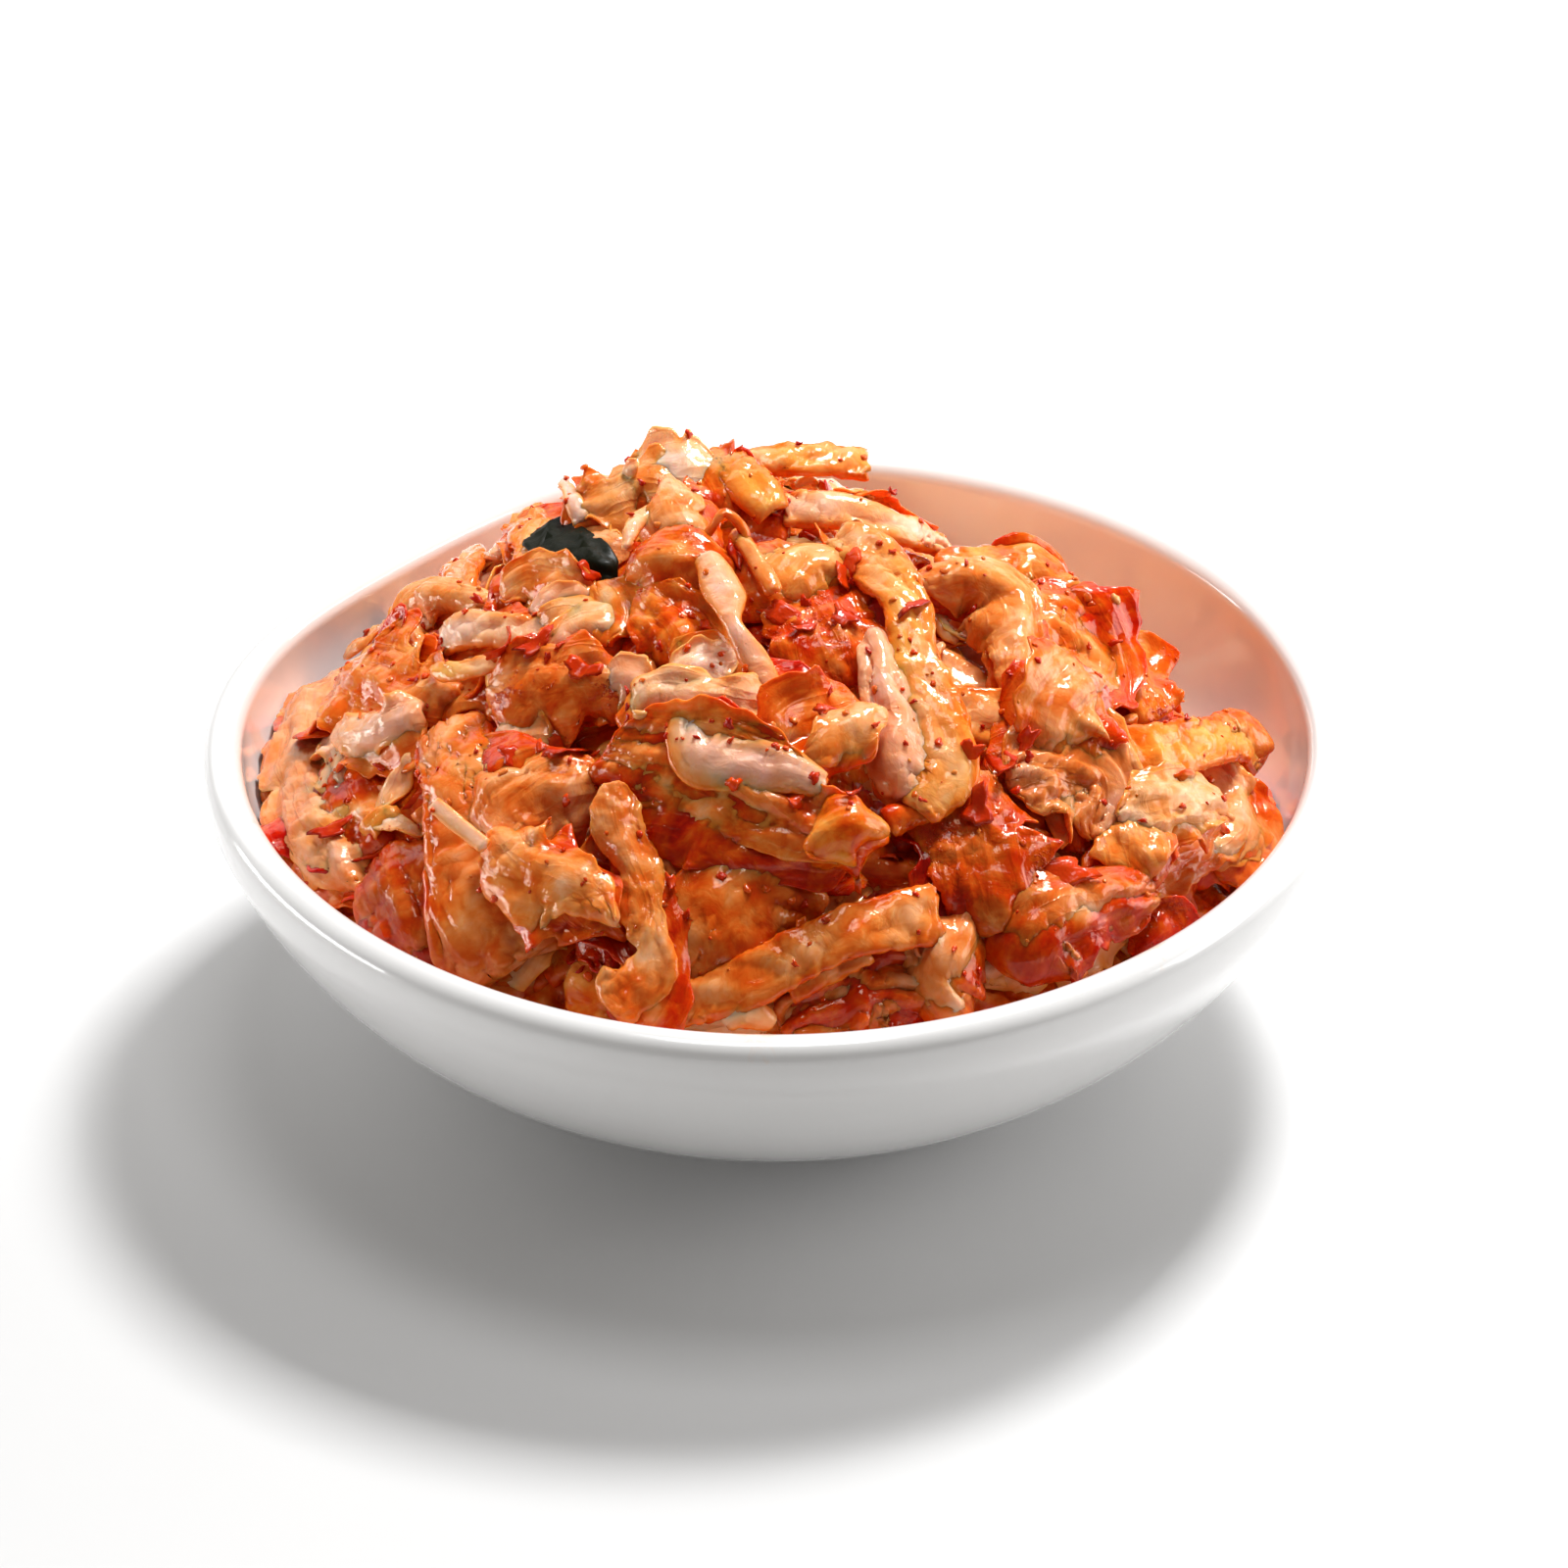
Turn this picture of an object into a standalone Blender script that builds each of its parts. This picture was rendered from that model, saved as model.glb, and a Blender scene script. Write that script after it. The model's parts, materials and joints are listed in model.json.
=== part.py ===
# Kimchi heaped in its small white serving bowl.
# Metres, +Z up, origin at the middle of the underside of the foot. The side that faces -Y is the front.
import math

import bmesh
import bpy
import numpy as np

MM = 0.001

# The bowl: a turned profile, then pressed a little out of round as hand-made ware is.
BOWL_RADIUS = 60.0 * MM
BOWL_HEIGHT = 36.0 * MM
LIP_ROUND = 2.0 * MM
LIP_LEAN = 0.2 * MM              # the lip's outer side stands this far inside the widest wall
FOOT_RADIUS = 21.6 * MM
FOOT_HEIGHT = 2.0 * MM
FOOT_WIDTH = 2.8 * MM
FOOT_EASE = 0.4 * MM             # rounding of the foot ring's edges
FLOOR_HEIGHT = 6.0 * MM          # top of the floor inside
UNDERSIDE_HEIGHT = 1.3 * MM      # the recess inside the foot ring
OUTER_CURVE = (1.4, 0.52)        # the two powers of the outer wall's swell
INNER_CURVE = (1.6, 0.32)        # and of the inner wall's
BOWL_STEPS = 64

PRESS_ANGLE = math.radians(141)  # the flattened side, back left
PRESS_SPREAD = 0.39
PRESS_DEPTH = 0.057              # share of the radius lost there, at the lip
PRESS_DIP = 0.6 * MM
FRONT_ANGLE = math.radians(-90)  # the front of the lip lies lower
FRONT_SPREAD = 0.7
FRONT_DIP = 1.2 * MM

# The heap: one solid, out to the uneven outline of the leaves that lie on it.
CLEARANCE = 0.45 * MM            # between the heap and the bowl
HEAP_TOP = (-5.0 * MM, 12.0 * MM, 56.0 * MM)
HEAP_SLOPE = 1.7                 # power of the fall from the top to the edge
HEAP_EDGE_HEIGHT = 27.0 * MM
HEAP_EDGE_TILT = 2.5 * MM        # the edge lies this much higher in front, lower behind
BARE_WALL = (math.radians(32), 0.42, 6.5 * MM)  # where the bowl's wall shows: direction, spread, depth
HEAP_REACH = 54.5 * MM
HEAP_SINK = 2.8 * MM             # the bulk stays this far under the leaves
HEAP_GRID = 48
UNDER_LEVELS = (0.45, 0.12, 0.03)  # rings of the underside, as shares of the edge's height
# Places where the heap sags: x, y, spread along x, spread along y, depth.
HEAP_HOLLOWS = (
    (44 * MM, 16 * MM, 12 * MM, 18 * MM, 7.0 * MM),
    (21 * MM, 22 * MM, 10 * MM, 13 * MM, 4.0 * MM),
    (-4 * MM, 36 * MM, 42 * MM, 13 * MM, 4.0 * MM),
)
LEAF_CAMBER = 0.9 * MM           # fall from a leaf's middle line to its side
LEAF_STEEPNESS = 3.2             # how steeply the heap drops beside a leaf
CREASE_DEPTH = 0.8 * MM

# The large leaves, stems and strips: width, then the line that the middle of each follows, in mm.
LEAVES = {
    "crown": (6, [(-22, 6, 56), (-15, 9, 60), (-8, 9, 60), (-4, 4, 58)]),
    "crown_block": (5, [(-5, 11, 60), (-1, 4, 59), (2, 0, 57)]),
    "back_strip": (4, [(-4, 15, 58), (4, 16, 57), (10, 27, 51)]),
    "shoulder_stem": (5, [(1, 4, 58), (8, 4, 57), (18, 7, 51)]),
    "finger": (5, [(-11, 5, 62), (-10, -2, 61), (-8, -7, 60)]),
    "cheek_leaf": (7, [(-15, -7, 58), (-9, -9, 59), (-4, -12, 57)]),
    "pink_ribbon": (3, [(-7, -9, 60), (-4, -19, 58), (0, -26, 54)]),
    "right_face": (7, [(-4, -5, 58), (2, -12, 56), (6, -15, 55), (8, -21, 52)]),
    "arch_strip": (6, [(6, -4, 59), (11, -9, 58), (14, -20, 54), (17, -31, 48), (14, -35, 46)]),
    "left_lobe": (4, [(-38, -2, 44), (-39, 8, 43), (-34, 6, 47), (-28, 0, 50)]),
    "pale_stem": (4, [(-34, -5, 48), (-28, -8, 51), (-22, -9, 52)]),
    "pink_stem": (6, [(-29, -17, 49), (-21, -19, 51), (-13, -21, 51)]),
    "back_left_stem": (5, [(-26, 20, 49), (-24, 0, 52)]),
    "orange_folds": (6, [(-18, -6, 55), (-14, -11, 55), (-9, -19, 53)]),
    "wall_leaf": (8, [(-49, 18, 30), (-51, 2, 31), (-50, -10, 32), (-42, -28, 32)]),
    "left_top_leaf": (8, [(-46, 6, 38), (-42, -2, 41), (-33, -12, 46)]),
    "front_left_stem": (10, [(-33, -17, 45), (-30, -29, 41), (-26, -38, 37), (-23, -44, 34)]),
    "kidney_leaf": (11, [(-17, -30, 50), (-8, -33, 51), (3, -38, 48), (10, -40, 46)]),
    "kidney_rim": (3, [(-14, -28, 53), (-6, -27, 54), (0, -27, 53)]),
    "rib_loop": (4, [(-7, -30, 54), (-8, -33, 52), (-2, -35, 52), (5, -37, 50)]),
    "petal": (6, [(0, -33, 52), (5, -29, 54), (11, -29, 54)]),
    "mauve_stem": (6, [(10, -18, 56), (12, -27, 52), (13, -35, 47)]),
    "flat_slice": (6, [(17, -20, 48), (26, -19, 46)]),
    "right_lobe": (6, [(15, -6, 55), (22, -4, 54), (25, -12, 51), (25, -18, 48)]),
    "right_ruffle": (4, [(17, 2, 53), (24, 10, 50), (30, 18, 44)]),
    "right_leaf": (7, [(26, 2, 50), (32, -5, 46), (31, -12, 45)]),
    "bar_stem": (6, [(34, -19, 43), (42, -14, 41), (52, -3, 34)]),
    "crest_leaf": (7, [(27, -26, 46), (29, -20, 50), (33, -14, 49)]),
    "brown_leaf": (9, [(22, -29, 46), (30, -27, 45), (33, -32, 41)]),
    "red_leaf": (8, [(20, -30, 45), (21, -39, 41), (23, -45, 36)]),
    "pointed_ribbon": (4, [(34, -29, 41), (41, -25, 41), (47, -22, 37)]),
    "right_end": (6, [(47, -9, 35), (50, -15, 33), (47, -22, 32)]),
    "low_right_leaf": (7, [(38, -33, 38), (31, -38, 38), (24, -46, 35)]),
    "curled_tip": (6, [(19, -41, 38), (16, -47, 35), (18, -50, 33)]),
    "front_strip": (5, [(16, -43, 39), (7, -46, 39), (-3, -50, 35), (-10, -50, 33)]),
    "triangle_stem": (9, [(-10, -47, 36), (-5, -43, 39), (5, -40, 40)]),
    "hanging_ribbon": (3, [(-16, -33, 48), (-13, -42, 43), (-13, -49, 37), (-16, -50, 34)]),
    "cream_leaf": (8, [(-17, -31, 47), (-24, -32, 46), (-27, -36, 43)]),
    "orange_wedge": (5, [(-28, -35, 43), (-22, -41, 42), (-15, -46, 40)]),
    "vein_leaf": (8, [(-14, -30, 46), (-12, -35, 43), (-10, -41, 40)]),
    "back_fan": (10, [(-12, 23, 52), (-14, 32, 45), (-12, 41, 37), (-9, 48, 32)]),
    "back_fold": (8, [(2, 23, 52), (8, 30, 45), (6, 40, 38)]),
    "back_ridge": (6, [(-30, 12, 48), (-24, 24, 46), (-22, 36, 38)]),
    "back_left_leaf": (9, [(-43, 14, 37), (-38, 24, 36), (-33, 35, 31)]),
    "back_low_left": (8, [(-26, 39, 32), (-16, 46, 31), (-4, 49, 30)]),
    "back_right_leaf": (8, [(14, 23, 46), (20, 31, 37), (18, 41, 32)]),
    "back_right_strip": (5, [(6, 44, 35), (15, 46, 31), (24, 41, 28)]),
    "back_right_fold": (6, [(26, 21, 39), (29, 29, 32), (26, 36, 29)]),
    "back_stem": (6, [(-6, 20, 55), (0, 27, 50), (-2, 38, 41), (1, 48, 33)]),
    "right_back_leaf": (6, [(37, 4, 39), (41, 11, 32), (40, 17, 30)]),
    "left_back_strip": (5, [(-34, 4, 47), (-33, 16, 45), (-35, 27, 38)]),
}

# Colours: red, green, blue, then roughness.
GLAZE = (0.90, 0.89, 0.88, 0.12)
CABBAGE = (0.82, 0.36, 0.16, 0.28)


def bump(angle, middle, spread):
    # Bell of height 1 round one direction.
    away = (angle - middle + math.pi) % (2 * math.pi) - math.pi
    return np.exp(-(away / spread) ** 2)


def swell(share, powers):
    # Share of the full radius at a share of the height: fast at first, upright at the end.
    lead, tail = powers
    return (1 - (1 - np.clip(share, 0, 1)) ** lead) ** tail


def outer_radius(z):
    share = (z - FOOT_HEIGHT) / (BOWL_HEIGHT - 1.6 * LIP_ROUND - FOOT_HEIGHT)
    return FOOT_RADIUS + (BOWL_RADIUS - FOOT_RADIUS) * swell(share, OUTER_CURVE)


def inner_radius(z):
    rim = BOWL_RADIUS - LIP_LEAN - 2 * LIP_ROUND
    share = (z - FLOOR_HEIGHT) / (BOWL_HEIGHT - LIP_ROUND - FLOOR_HEIGHT)
    return rim * swell(share, INNER_CURVE)


def press(x, y, z):
    # The bowl's departure from a true round: one side pushed in, and the front of the lip lower.
    angle = np.arctan2(y, x)
    height = np.clip((z - FOOT_HEIGHT) / (BOWL_HEIGHT - FOOT_HEIGHT), 0, 1)
    side = bump(angle, PRESS_ANGLE, PRESS_SPREAD)
    narrow = 1 - PRESS_DEPTH * side * height
    drop = height * (PRESS_DIP * side + FRONT_DIP * bump(angle, FRONT_ANGLE, FRONT_SPREAD))
    return x * narrow, y * narrow, z - drop


def bowl_profile():
    # From the middle of the floor up the inside, over the lip, down the outside and under the foot.
    top_of_wall = BOWL_HEIGHT - LIP_ROUND
    points = []
    for k in range(11):
        z = FLOOR_HEIGHT + (top_of_wall - FLOOR_HEIGHT) * (k / 11) ** 2.4
        points.append((inner_radius(z), z))
    lip_middle = BOWL_RADIUS - LIP_LEAN - LIP_ROUND
    for k in range(6):
        turn = math.pi * (1 - k / 5)
        points.append((lip_middle + LIP_ROUND * math.cos(turn), top_of_wall + LIP_ROUND * math.sin(turn)))
    wall_start = BOWL_HEIGHT - 2.4 * LIP_ROUND
    for k in range(8, 0, -1):
        z = FOOT_HEIGHT + (wall_start - FOOT_HEIGHT) * (k / 8) ** 2
        points.append((outer_radius(z), z))
    inside = FOOT_RADIUS - FOOT_WIDTH
    points += [
        (FOOT_RADIUS, FOOT_HEIGHT),
        (FOOT_RADIUS, FOOT_EASE),
        (FOOT_RADIUS - FOOT_EASE, 0),
        (inside + FOOT_EASE, 0),
        (inside - FOOT_EASE, UNDERSIDE_HEIGHT),
        (0, UNDERSIDE_HEIGHT),
    ]
    return points


def material(name, look):
    surface = bpy.data.materials.new(name)
    surface.use_nodes = True
    shader = surface.node_tree.nodes["Principled BSDF"]
    shader.inputs["Base Color"].default_value = (*look[:3], 1)
    shader.inputs["Roughness"].default_value = look[3]
    surface.diffuse_color = (*look[:3], 1)
    return surface


def finish(name, mesh, look, collection):
    part = bpy.data.objects.new(name, mesh)
    mesh.materials.clear()
    mesh.materials.append(material(name, look))
    mesh.shade_smooth()
    mesh.set_sharp_from_angle(angle=math.radians(50))
    collection.objects.link(part)
    return part


def make_bowl(collection):
    profile = bowl_profile()
    outline = bpy.data.meshes.new("bowl_profile")
    outline.from_pydata([(r, 0, z) for r, z in profile], [(k, k + 1) for k in range(len(profile) - 1)], [])
    turned = bpy.data.objects.new("bowl_profile", outline)
    collection.objects.link(turned)
    screw = turned.modifiers.new("Turn", "SCREW")
    screw.steps = screw.render_steps = BOWL_STEPS
    screw.use_merge_vertices = True
    screw.merge_threshold = 0.00001
    seen = turned.evaluated_get(bpy.context.evaluated_depsgraph_get())
    mesh = bpy.data.meshes.new_from_object(seen)
    bpy.data.objects.remove(turned)

    places = np.empty(len(mesh.vertices) * 3)
    mesh.vertices.foreach_get("co", places)
    x, y, z = places.reshape(-1, 3).T
    pressed = np.column_stack(press(x, y, z))
    mesh.vertices.foreach_set("co", pressed.ravel())
    return finish("bowl", mesh, GLAZE, collection)


def edge_height(angle):
    middle, spread, depth = BARE_WALL
    return HEAP_EDGE_HEIGHT - HEAP_EDGE_TILT * np.sin(angle) - depth * bump(angle, middle, spread)


def bulk_height(x, y):
    # The heap without its leaves: from the top, the height falls by a power of the way to the edge.
    top_x, top_y, top_z = HEAP_TOP
    dx, dy = x - top_x, y - top_y
    angle = np.arctan2(dy, dx)
    ahead = np.cos(angle) * top_x + np.sin(angle) * top_y
    reach = np.sqrt(ahead ** 2 - (top_x ** 2 + top_y ** 2 - HEAP_REACH ** 2)) - ahead
    way = np.clip(np.hypot(dx, dy) / reach, 0, 1)
    z = edge_height(angle) + (top_z - edge_height(angle)) * (1 - way ** HEAP_SLOPE)
    for at_x, at_y, wide_x, wide_y, depth in HEAP_HOLLOWS:
        z = z - depth * np.exp(-((x - at_x) / wide_x) ** 2 - ((y - at_y) / wide_y) ** 2)
    return z


def leaf_height(x, y, width, line):
    # Height of one leaf above every (x, y): its middle line's height, less its camber, less a
    # steep fall beyond its sides.
    best = np.full(x.shape, -1.0)
    half = width * MM / 2
    for start, end in zip(line, line[1:]):
        ax, ay, az = (MM * value for value in start)
        bx, by, bz = (MM * value for value in end)
        along = ((x - ax) * (bx - ax) + (y - ay) * (by - ay)) / ((bx - ax) ** 2 + (by - ay) ** 2)
        along = np.clip(along, 0, 1)
        off = np.hypot(x - ax - along * (bx - ax), y - ay - along * (by - ay))
        beyond = np.maximum(off - half, 0)
        z = az + along * (bz - az) - LEAF_CAMBER * np.minimum(off / half, 1) ** 2 - LEAF_STEEPNESS * beyond
        best = np.maximum(best, z)
    return best


def creases(x, y):
    # Shallow folds between the leaves, in three crossing directions.
    u, v = x / MM, y / MM
    waves = np.sin(0.9 * u + 0.3 * v) + np.sin(0.7 * v - 0.5 * u + 1.3) + np.sin(0.4 * u + 0.95 * v + 2.1)
    return CREASE_DEPTH * waves / 1.5


def top_height(x, y):
    z = bulk_height(x, y) - HEAP_SINK + creases(x, y)
    for width, line in LEAVES.values():
        z = np.maximum(z, leaf_height(x, y, width, line))
    return z


def edge_ring(x, y, share):
    # Points on the bowl's inner wall, less the clearance, at a share of the edge's height.
    angle = np.arctan2(y, x)
    floor = FLOOR_HEIGHT + CLEARANCE
    z = floor + (edge_height(angle) - floor) * share
    radius = inner_radius(z - CLEARANCE) - CLEARANCE
    return np.column_stack(press(radius * np.cos(angle), radius * np.sin(angle), z))


def make_kimchi(collection):
    # The top is a square grid drawn into a disc, so its cells stay even. The underside follows the bowl.
    heap = bmesh.new()
    bmesh.ops.create_grid(heap, x_segments=HEAP_GRID, y_segments=HEAP_GRID, size=1.0)
    square = np.array([vertex.co[:] for vertex in heap.verts])
    u, v = square[:, 0], square[:, 1]
    disc_x = u * np.sqrt(1 - v ** 2 / 2)
    disc_y = v * np.sqrt(1 - u ** 2 / 2)
    rim = edge_ring(disc_x, disc_y, 1.0)
    far = np.hypot(disc_x, disc_y)
    reach = np.hypot(rim[:, 0], rim[:, 1])
    angle = np.arctan2(disc_y, disc_x)
    x, y = far * reach * np.cos(angle), far * reach * np.sin(angle)
    on_rim = np.maximum(abs(u), abs(v)) > 0.999
    z = np.where(on_rim, rim[:, 2], top_height(x, y))
    for vertex, place in zip(heap.verts, np.column_stack((x, y, z))):
        vertex.co = place

    border = [edge for edge in heap.edges if edge.is_boundary]
    for share in UNDER_LEVELS:
        grown = bmesh.ops.extrude_edge_only(heap, edges=border)["geom"]
        ring = [item for item in grown if isinstance(item, bmesh.types.BMVert)]
        border = [item for item in grown if isinstance(item, bmesh.types.BMEdge) and item.is_boundary]
        places = np.array([vertex.co[:] for vertex in ring])
        for vertex, place in zip(ring, edge_ring(places[:, 0], places[:, 1], share)):
            vertex.co = place
    bmesh.ops.contextual_create(heap, geom=border)
    bmesh.ops.triangulate(heap, faces=heap.faces[:])
    bmesh.ops.recalc_face_normals(heap, faces=heap.faces[:])
    mesh = bpy.data.meshes.new("kimchi")
    heap.to_mesh(mesh)
    heap.free()
    return finish("kimchi", mesh, CABBAGE, collection)


def main():
    for old in list(bpy.data.objects):
        bpy.data.objects.remove(old)
    collection = bpy.data.collections.new("kimchi_in_bowl")
    bpy.context.scene.collection.children.link(collection)
    make_bowl(collection)
    make_kimchi(collection)


main()
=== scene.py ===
import json
import math

import bpy
import numpy as np
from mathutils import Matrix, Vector
from mathutils.bvhtree import BVHTree

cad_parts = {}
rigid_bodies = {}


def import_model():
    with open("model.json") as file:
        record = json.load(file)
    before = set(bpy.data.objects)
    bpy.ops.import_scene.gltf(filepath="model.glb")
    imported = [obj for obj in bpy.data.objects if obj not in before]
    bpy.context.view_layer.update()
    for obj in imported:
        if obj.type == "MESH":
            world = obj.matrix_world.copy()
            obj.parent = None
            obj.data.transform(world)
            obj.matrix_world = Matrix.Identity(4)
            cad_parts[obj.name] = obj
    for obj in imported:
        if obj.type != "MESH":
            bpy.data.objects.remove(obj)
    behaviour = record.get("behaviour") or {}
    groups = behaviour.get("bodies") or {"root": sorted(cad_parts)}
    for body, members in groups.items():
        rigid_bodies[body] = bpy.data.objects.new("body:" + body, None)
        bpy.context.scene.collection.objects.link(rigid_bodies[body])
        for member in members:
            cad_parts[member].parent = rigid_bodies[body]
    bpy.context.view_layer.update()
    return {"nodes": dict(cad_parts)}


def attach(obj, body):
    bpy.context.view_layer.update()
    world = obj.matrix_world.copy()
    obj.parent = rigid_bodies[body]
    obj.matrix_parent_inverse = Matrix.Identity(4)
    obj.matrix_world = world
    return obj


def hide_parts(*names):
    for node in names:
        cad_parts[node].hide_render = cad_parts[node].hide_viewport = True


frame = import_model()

print("frame loaded:", sorted(frame["nodes"]))

mm = 0.001  # lengths below are in millimetres, and become metres when a mesh is made

bowlHeight = 36.0
bowlRadius = 60.0


class Flow:
    # One value, colour or vector inside a material, so that sums can be written as Python.
    def __init__(self, shader, socket):
        self.shader, self.socket = shader, socket

    def put(self, operation, first, second):
        return self.shader.node("ShaderNodeMath", {"operation": operation}, {0: first, 1: second})

    def __add__(self, other):
        return self.put("ADD", self, other)

    def __radd__(self, other):
        return self.put("ADD", other, self)

    def __sub__(self, other):
        return self.put("SUBTRACT", self, other)

    def __rsub__(self, other):
        return self.put("SUBTRACT", other, self)

    def __mul__(self, other):
        return self.put("MULTIPLY", self, other)

    def __rmul__(self, other):
        return self.put("MULTIPLY", other, self)

    def __rpow__(self, other):
        return self.put("POWER", other, self)

    def largest(self, other):
        return self.put("MAXIMUM", self, other)

    def ridge(self, sharp):
        # thin raised lines where noise crosses its middle
        away = self.put("ABSOLUTE", self * 2.0 - 1.0, 0.0)
        line = (1.0 - away * 3.2).largest(0.0)
        return self.put("POWER", line, sharp)

    def step(self, low, high):
        # 0 below low, 1 above high, smooth between
        settings = {"interpolation_type": "SMOOTHSTEP", "clamp": True}
        return self.shader.node("ShaderNodeMapRange", settings, {"Value": self, "From Min": low, "From Max": high})


class Shader:
    # A material under construction.
    def __init__(self, name):
        self.material = bpy.data.materials.new(name)
        self.material.use_nodes = True
        self.tree = self.material.node_tree
        self.principled = self.tree.nodes["Principled BSDF"]

    def feed(self, socket, value):
        if isinstance(value, Flow):
            self.tree.links.new(value.socket, socket)
        elif socket.type == "RGBA":
            socket.default_value = (*value[:3], 1)
        else:
            socket.default_value = value

    def node(self, kind, settings=None, values=None, out=None):
        # settings first, as they decide which sockets are in use
        made = self.tree.nodes.new(kind)
        for key, value in (settings or {}).items():
            setattr(made, key, value)
        for key, value in (values or {}).items():
            self.feed(made.inputs[key], value)
        socket = made.outputs[out] if out is not None else next(s for s in made.outputs if s.enabled)
        return Flow(self, socket)

    def place(self):
        return self.node("ShaderNodeTexCoord", out="Object")

    def attribute(self, name, out="Fac"):
        return self.node("ShaderNodeAttribute", {"attribute_name": name}, out=out)

    def noise(self, scale, detail=3.0, rough=0.55, warp=0.0, where=None):
        values = {"Vector": where or self.place(), "Scale": scale, "Detail": detail, "Roughness": rough,
                  "Distortion": warp}
        return self.node("ShaderNodeTexNoise", {}, values, out="Fac")

    def mix(self, amount, first, second, blend="MIX"):
        settings = {"data_type": "RGBA", "blend_type": blend, "clamp_factor": True}
        return self.node("ShaderNodeMix", settings, {0: amount, 6: first, 7: second}, out=2)

    def bump(self, height, strength, distance):
        return self.node("ShaderNodeBump", {}, {"Height": height, "Strength": strength, "Distance": distance})

    def finish(self, **inputs):
        for key, value in inputs.items():
            self.feed(self.principled.inputs[key.replace("_", " ")], value)
        return self.material


cabbageLook = dict(
    filmRed=0.80, filmGreen=0.24, filmBlue=0.026,  # what one film of chilli oil lets through
    pasteColour=(0.42, 0.020, 0.003), brightPaste=(0.66, 0.075, 0.008),
    scatter=0.6, scatterRadius=(1.0, 0.50, 0.30), scatterScale=0.0010,
)


def cabbageMaterial():
    # Wilted cabbage steeped in chilli oil: the flesh colour seen through a film that lets a set
    # share of green and blue through for each unit of it, streaked along the leaf's fibres, with
    # grains of paste on top.
    s = Shader("wet cabbage")
    # the flesh attribute holds the cabbage tones plus a painted glow: leaf rims tinted yellow to stand for light
    # shining through them
    flesh = s.attribute("flesh", out="Color")
    film = s.attribute("film")
    paste = s.attribute("paste")
    flow = s.attribute("flow", out="Vector")
    fibre = s.noise(1.9, 2, 0.6, 0.3, flow)
    crease = s.attribute("crease")
    wrinkle = s.noise(0.62, 1, 0.5, 0.6, flow).ridge(1.5) * crease
    mottle = s.noise(430, 3, 0.62, 0.6)
    fine = s.noise(1700, 2, 0.6)
    amount = film * (2.0 * mottle + 0.4 * fine + 0.15 * fibre - 0.1 * wrinkle - 0.18)
    stain = s.node("ShaderNodeCombineColor", {}, {
        0: cabbageLook["filmRed"] ** amount, 1: cabbageLook["filmGreen"] ** amount,
        2: cabbageLook["filmBlue"] ** amount})
    colour = s.mix(1.0, flesh, stain, "MULTIPLY")
    grain = (fine * 0.9 + mottle * 0.6 + paste - 1.15).step(0.0, 0.16)
    pasteTone = s.mix((fine - 0.42) * 2.5, cabbageLook["pasteColour"], cabbageLook["brightPaste"])
    colour = s.mix(grain, colour, pasteTone)
    return s.finish(
        Base_Color=colour,
        Roughness=0.07 + 0.12 * fine,
        Specular_IOR_Level=0.4,
        Specular_Tint=(1.0, 0.75, 0.50),
        IOR=1.42,
        Subsurface_Weight=cabbageLook["scatter"],
        Subsurface_Radius=cabbageLook["scatterRadius"],
        Subsurface_Scale=cabbageLook["scatterScale"],
        Coat_Weight=0.55,
        Coat_Roughness=0.04,
        Coat_IOR=1.36,
        Normal=s.bump(wrinkle * 0.22 + fibre * crease * 0.09 + mottle * 0.50 + fine * 0.03 + grain * 0.3, 0.45, 0.0009),
    )


def flakeMaterial():
    # Chilli skin: deep glossy red, some flakes darker and some oranger.
    s = Shader("chilli flakes")
    shade = s.attribute("shade")
    blotch = s.noise(900, 2, 0.5)
    colour = s.mix(shade, (0.42, 0.009, 0.001), (0.72, 0.050, 0.003))
    colour = s.mix((blotch - 0.5).step(0.0, 0.2) * 0.35, colour, (0.80, 0.11, 0.010))
    return s.finish(
        Base_Color=colour,
        Roughness=0.12 + 0.12 * blotch,
        Specular_IOR_Level=0.25,
        Subsurface_Weight=0.10,
        Subsurface_Radius=(1.0, 0.12, 0.05),
        Subsurface_Scale=0.001,
        Coat_Weight=0.05,
        Coat_Roughness=0.06,
        Normal=s.bump(blotch, 0.35, 0.0004),
    )


def greenMaterial():
    # The dark outer leaf of a spring onion.
    s = Shader("dark green leaf")
    streak = s.noise(500, 3, 0.6, 0.5)
    colour = s.mix(streak, (0.001, 0.003, 0.001), (0.010, 0.010, 0.002))
    return s.finish(
        Base_Color=colour,
        Roughness=0.4 + 0.15 * streak,
        Specular_IOR_Level=0.12,
        Coat_Weight=0.03,
        Coat_Roughness=0.08,
        Normal=s.bump(streak, 0.35, 0.0005),
    )


def seedMaterial():
    # Chilli seeds, pale yellow under a little oil.
    s = Shader("chilli seeds")
    tone = s.noise(800, 2, 0.5)
    colour = s.mix(tone, (0.86, 0.30, 0.06), (0.92, 0.48, 0.16))
    return s.finish(
        Base_Color=colour,
        Roughness=0.25 + 0.1 * tone,
        Subsurface_Weight=0.3,
        Subsurface_Radius=(1.0, 0.5, 0.2),
        Subsurface_Scale=0.001,
        Coat_Weight=0.6,
        Coat_Roughness=0.06,
    )


smearSpots = (  # sauce left on the glaze: x, y, z, size along the wall, strength
    (-51.0, -21.0, 33.5, 3.2, 0.45),
    (36.0, -43.5, 33.8, 3.4, 0.4),
    (-1.0, -55.5, 33.0, 4.5, 0.45),
    (-54.5, 3.0, 31.0, 3.0, 0.25),
    (50.0, -20.0, 32.0, 3.5, 0.3),
    (12.0, -54.0, 32.5, 3.0, 0.3),
)


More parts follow.
